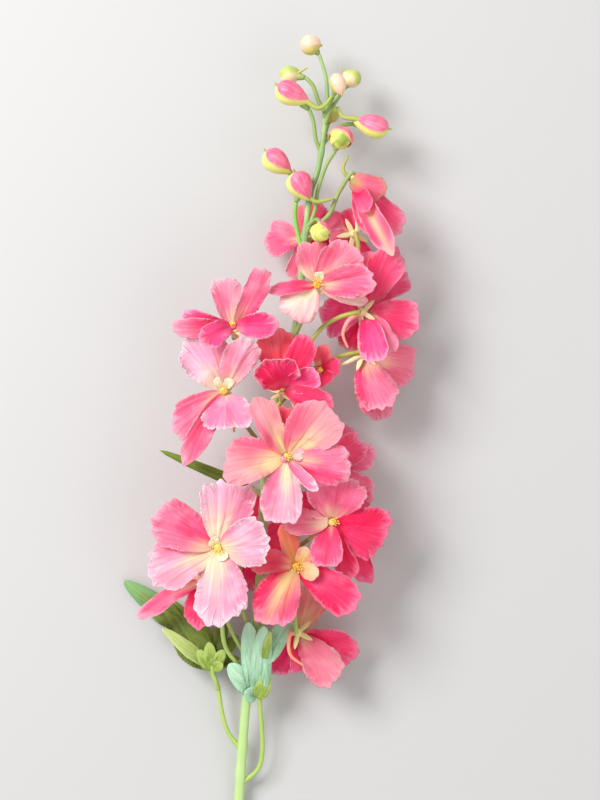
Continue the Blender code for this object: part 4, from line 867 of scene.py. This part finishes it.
def hood_shell(middle, pole, radius, opening):
    """A thin open shell of a hood sepal round a bud: its outer face, then back along its inner one."""
    aside = pole.orthogonal().normalized()
    across = pole.cross(aside)
    around = np.linspace(0, math.tau, HOOD_COLUMNS, endpoint=False)
    limit = opening + 0.12 * np.sin(2 * around + 1) + 0.05 * np.sin(5 * around)
    to_lip = np.linspace(0.02, 1, HOOD_ROWS)
    from_lip = np.linspace(1, 0.02, HOOD_ROWS)
    rows = []
    for way, reach in ((to_lip, radius), (from_lip, radius - HOOD_THICK)):
        for share in way:
            polar = share * limit
            flat = np.cos(around)[:, None] * np.array(aside) + np.sin(around)[:, None] * np.array(across)
            rows.append(np.array(middle) + reach * MM * (np.cos(polar)[:, None] * np.array(pole)
                                                         + np.sin(polar)[:, None] * flat))
    points = np.array(rows)
    share = np.concatenate([to_lip, from_lip])[:, None] + 0 * around
    return skin(points, True, 2, True, hood=(1.05 - share) * 1.5, step=np.ones_like(share),
                apex=np.full_like(share, -1.0), along=share, around=around + 0 * share)


BUD_SKINS = {dye: bud_skin("bud_" + dye, *colours) for dye, colours in BUD_DYES.items()}
BUD_STALK = moulded_green("bud_stalk_plastic", tint(142, 168, 90), tint(136, 164, 88), tint(170, 192, 116),
                          120, 180)
FRESH_STALK = moulded_green("fresh_stalk_plastic", tint(150, 176, 96), tint(134, 196, 78), tint(160, 196, 96),
                            84, 92)
BUD_SPUR = moulded_green("bud_spur_plastic", tint(176, 178, 84), tint(168, 180, 82), tint(196, 186, 108),
                         80, 160)
BUD_SLOTS = {"bud_1": "peach", "bud_5": "peach", "bud_3": "pink", "bud_7": "pink", "bud_9": "pink",
             "bud_10": "pink"}

for name, (dye, belly, middle, (half_long, half_wide), way, stalk, spur) in BUDS.items():
    middle = place(*middle)
    way = Vector(way).normalized()
    belly = Vector(belly)
    pole = (way * way.dot(belly) - belly).normalized()
    aside = way.cross(pole)
    slot = "bud_" + BUD_SLOTS.get(name, "lime")
    t = -np.cos(np.linspace(0.02, np.pi - 0.02, BUD_ROWS))[:, None]
    around = np.linspace(0, math.tau, BUD_COLUMNS, endpoint=False)[None, :] + 0 * t
    t = t + 0 * around
    from_pole = np.abs((around + math.pi) % math.tau - math.pi)
    step = np.ones_like(t)
    if dye == "pink":
        radius = half_wide * (1 - t) ** 0.9 * np.sqrt(1 + t) / 1.07
        hood = HOOD_ANGLE * np.where(t > 0, 1 - np.abs(t) ** 2.2, 1 - np.abs(t) ** 7) ** 0.55 - from_pole
        radius *= 1 + HOOD_LIP * np.clip(hood * 8, 0, 1)
    else:
        radius = half_wide * np.sqrt(1 - t * t) * (1 - BUD_POINT * np.maximum(0, t))
        hood = HOOD_ANGLE + 0.5 * t * t - from_pole
        radius *= 1 - 0.03 * np.exp(-(hood / 0.08) ** 2)
    if dye == "closed":
        step = (around * SEPALS / math.tau + 0.55 * t) % 1.0
        radius *= 1 + SEPAL_STEP * (step - 0.5) * (1 - t ** 6)
    apex = t if name == GREEN_TIPPED else np.full_like(t, -1.0)
    long = t * half_long
    points = (long[..., None] * np.array(way) + (radius * np.cos(around))[..., None] * np.array(pole)
              + (radius * np.sin(around))[..., None] * np.array(aside)) * MM + np.array(middle)
    parts = [skin(points, True, 0, True, hood=hood, step=step, apex=apex, along=t, around=around)]
    end = place(*(stalk or [STEM[-1][:3]])[-1])
    neck_way = (end - middle).normalized()
    reach = (end - middle).length / MM
    neck = [(0.0, 2.0), (reach * 0.6, 2.0), (reach * 0.85, 1.4), (reach - 0.3, 1.0)]
    parts.append(turned(middle, neck_way, neck, 12, finish=1))
    if spur:
        root = PINK_SPUR_ROOT if dye == "pink" else SMALL_SPUR_ROOT
        line = smooth_line([middle.lerp(place(*spur[0]), 0.5), *[place(*p) for p in spur]], 8)
        radii = [root * (1 - BUD_SPUR_TAPER * (n / len(line)) ** 0.6) * MM for n in range(len(line))]
        parts.append(bar(line, radii, 12, finish=3))
    if dye == "pink":
        root = middle - way * (half_long - 1.2) * MM + pole * 0.8 * MM
        parts.append(spike(root, (pole * 0.25 - way).normalized(), pole, 3.0, 2.4, 1.1, 0.3, finish=3))
    if name in HOODS:
        pole, shell_radius, opening = HOODS[name]
        parts.append(hood_shell(middle - UP * 1.0 * MM, Vector(pole).normalized(), shell_radius, opening))
    add_piece(name + "_sepals", parts, [BUD_SKINS[dye], BUD_STALK, BUD_SKINS["pink"], BUD_SPUR], slot, name)
    if stalk:
        slim = stalk_bar([place(*p) for p in stalk], 9, BUD_STALK_RADIUS, BUD_STALK_FLARE)
        green = FRESH_STALK if name == FRESH_STALKED else BUD_STALK
        add_piece(name + "_stalk", [slim], [green], "stem_green", "stem")


# The leaves: green cloth, stamped with veins and cut into pointed, toothed lobes. Each is glued on a
# moulded stalk that leaves the stem below the blooms, and one narrow blade grows from between them.
# A leaf: its dye, its foot, where its twig ends, the points that its stalk passes and its lobes. A lobe:
# the plan place and height of its foot and of its tip, its width, roll and bow, and its dye if it differs.
LEAVES = {
    "leaf_left": ("olive", (-44.5, -136, 12), (-46, -132.5, 12),
                  [(-30, -174, 8.5), (-36, -166, 9.5), (-39.3, -155, 10.5), (-41.2, -143, 11.5)], [
        (-45.5, -134, 12, -68, -99, 8, 19, 0, 0.04),
        (-57, -114, 10, -88, -90.5, 3, 13, 0, 0.04, "olive_tipped"),
        (-45.2, -133, 12, -52, -104, 9, 10.5, 0, 0.05),
        (-44.8, -132.5, 12.2, -37, -109, 8, 10, 0, 0.05),
        (-44.6, -131.5, 12, -31, -118, 7, 9, 0, 0.05),
        (-44.4, -132, 12, -30, -129, 6, 7, 0, 0.05),
        (-46, -133, 12.4, -69, -114, 17, 8, 30, 0.02, "pale_lime"),
    ]),
    "leaf_small": ("lime", (-43.4, -137, 15.3), (-44, -133, 17), [(-41.2, -144, 11.6), (-42, -140.5, 14.2)], [
        (-44, -135, 16, -45.5, -121, 20, 7, 0, 0.06),
        (-44.3, -134.6, 16.1, -51, -125, 19, 7, 0, 0.06),
        (-43.7, -134.7, 16.2, -38, -125, 20, 7, 0, 0.06),
        (-43.6, -134, 16.4, -38.5, -132, 20, 6, 0, 0.06),
    ]),
    "leaf_sage": ("sage", (-20.3, -150, 16.5), (-21, -145, 18),
                  [(-29.6, -192, 5.8), (-21, -184.5, 8), (-18.8, -175, 10), (-19.3, -162, 13)], [
        (-21.5, -148, 17.5, -27.5, -146, 23, 9, 0, 0.05),
        (-22, -147, 18, -35.5, -132, 24, 11, 0, 0.06),
        (-22, -146, 18, -26, -111, 30, 11, 0, 0.05),
        (-21, -148, 17.5, -18, -113, 31, 11, 0, 0.05),
        (-20.5, -133, 24, -4, -107.5, 25, 11, 0, 0.05),
        (-21, -149, 19, -15.8, -138, 23, 8, 0, 0.05, "lime"),
        (-18, -129, 27.5, -14.6, -115.5, 31, 4, 0, 0.05, "lime"),
    ]),
    "leaf_blade": ("olive", (-20.8, -46, 30.5), (-26, -43.5, 31.5), [(-17.6, -49, 30)], [
        (-23, -45, 31, -70.5, -25, 35, 5.5, 0, 0.04),
    ]),
}
# A leaf's dye: the colours of its body, veins, clouds and tips, how plain the veins are and how streaky
# the cloth is.
LEAF_DYES = {
    "olive": (tint(94, 112, 14), tint(126, 150, 50), tint(62, 82, 8), tint(104, 122, 24), 0.5, 0.2),
    "olive_tipped": (tint(94, 112, 20), tint(140, 176, 92), tint(66, 88, 14), tint(104, 154, 92), 0.5, 0.25),
    "lime": (tint(146, 168, 66), tint(184, 202, 118), tint(116, 144, 38), tint(160, 182, 92), 0.45, 0.4),
    "pale_lime": (tint(180, 200, 112), tint(210, 224, 156), tint(150, 176, 78), tint(190, 208, 128),
                  0.4, 0.4),
    "sage": (tint(158, 202, 164), tint(214, 236, 214), tint(116, 162, 116), tint(168, 210, 176), 0.25, 0.4),
}
LEAF_POINTS = {"olive": 1.6, "olive_tipped": 1.6, "lime": 0.9, "pale_lime": 1.4, "sage": 0.9}
LEAF_THICK = 0.4
LEAF_CLAW = 2.2
LOBE_SHOULDER = 0.35
LOBE_CUP = 0.08
TEETH_DEEP = 0.05
TEETH_STEP = 4.2
LOBE_WAVE = 0.04
MIDRIB_DEEP = 0.35
MIDRIB_WIDE = 0.12


def leaf_cloth(name, body, pale, dark, tip, veining, streaky):
    """Dyed green cloth with a pale midrib, side veins and darker clouds."""
    made, shader, start = new_finish(name, 0.6)
    along = start.carried("along")
    across = start.carried("across")
    seed = start.carried("seed")
    wide = start.node("CombineXYZ", {}, {"X": across, "Y": along * 1.5, "Z": seed})
    clouds = start.mottle(wide, 2.0, 3.0)
    ribs = start.math("ABSOLUTE", start.math("SINE", along * 26.0 - start.math("ABSOLUTE", across) * 9.0))
    ribs = 1.0 - ribs.rises(0.0, 0.35)
    midrib = 1.0 - start.math("ABSOLUTE", across).rises(0.0, MIDRIB_WIDE)
    veins = start.math("MAXIMUM", ribs * 0.5, midrib)
    colour = clouds.rises(0.35, 0.7).mix(body, dark)
    colour = (along + (clouds - 0.5) * 0.4).rises(0.62, 0.9).mix(colour, tip)
    fan = start.node("CombineXYZ", {}, {"X": across * 4.0, "Y": along * 2.4, "Z": seed + 40.0})
    colour = (start.mottle(fan, 1.0, 4.0).rises(0.48, 0.66) * streaky).mix(colour, pale)
    where = start.node("TexCoord", {}, {}, "Object")
    colour = (veins * veining).mix(colour, pale)
    paint_into(shader, colour)
    bump_into(shader, veins * 0.8 + start.mottle(where, 2600.0, 2.0) * 0.2, 0.5, 0.3)
    return made


LEAF_CLOTH = {dye: leaf_cloth("leaf_" + dye, *colours) for dye, colours in LEAF_DYES.items()}


def lobe(name, foot, tip, wide, roll, bow, point, finish):
    """One lobe of a leaf: pointed, toothed along its sides and pressed along its midrib."""
    rng = random.Random(name)
    long = (tip - foot).length / MM
    columns = max(9, 2 * round(wide / 0.8 / 2) + 1)
    rows = max(16, round(long / 0.7))
    u, v = np.meshgrid(np.linspace(0, 1, rows), np.linspace(-1, 1, columns), indexing="ij")
    claw = LEAF_CLAW / wide
    side = claw + (1 - claw) * np.sin(np.pi / 2 * u) ** WIDENING
    teeth = np.abs(((u * long / TEETH_STEP) % 1.0) - 0.25)
    side = side * (1 - TEETH_DEEP * 3 * teeth * np.abs(v) * np.minimum(1, 3 * u))
    spread = (1 - u * u) * v + u * u * np.sin(v * np.pi / 2)
    crest = LOBE_SHOULDER + (1 - LOBE_SHOULDER) * np.maximum(0, np.cos(v * np.pi / 2)) ** point
    rise = bow * long * np.sin(np.pi * u) + LOBE_CUP * wide * side * v * v
    rise += LOBE_WAVE * wide * v * v * waves(rng, u, [6.0, 11.0], 0.6)
    rise -= MIDRIB_DEEP * np.exp(-(v / MIDRIB_WIDE) ** 2) * np.minimum(1, 4 * u)
    flat = np.stack([wide / 2 * side * spread, long * u * crest, rise], axis=-1) * MM
    points = laid(flat, foot, tip, roll)
    return skin(points, False, finish, along=u, across=v, seed=np.full_like(u, rng.uniform(0, 90)))


for name, (dye, foot, twig, stalk, lobes) in LEAVES.items():
    dyes = [dye] + sorted({row[9] for row in lobes if len(row) > 9})
    parts = []
    for number, row in enumerate(lobes):
        own = row[9] if len(row) > 9 else dye
        parts.append(lobe(f"{name}_{number}", place(*row[0:3]), place(*row[3:6]), *row[6:9], LEAF_POINTS[own],
                          dyes.index(own)))
    leaf = add_piece(name + "_cloth", parts, [LEAF_CLOTH[own] for own in dyes], "leaf_" + dye, name)
    give_thickness(leaf, LEAF_THICK)
    stout = stalk_bar([place(*p) for p in [*stalk, foot, twig]], 10, STALK_RADIUS, STALK_FLARE)
    add_piece(name + "_stalk", [stout], [STALK_GREEN], "stem_green", "stem", name)
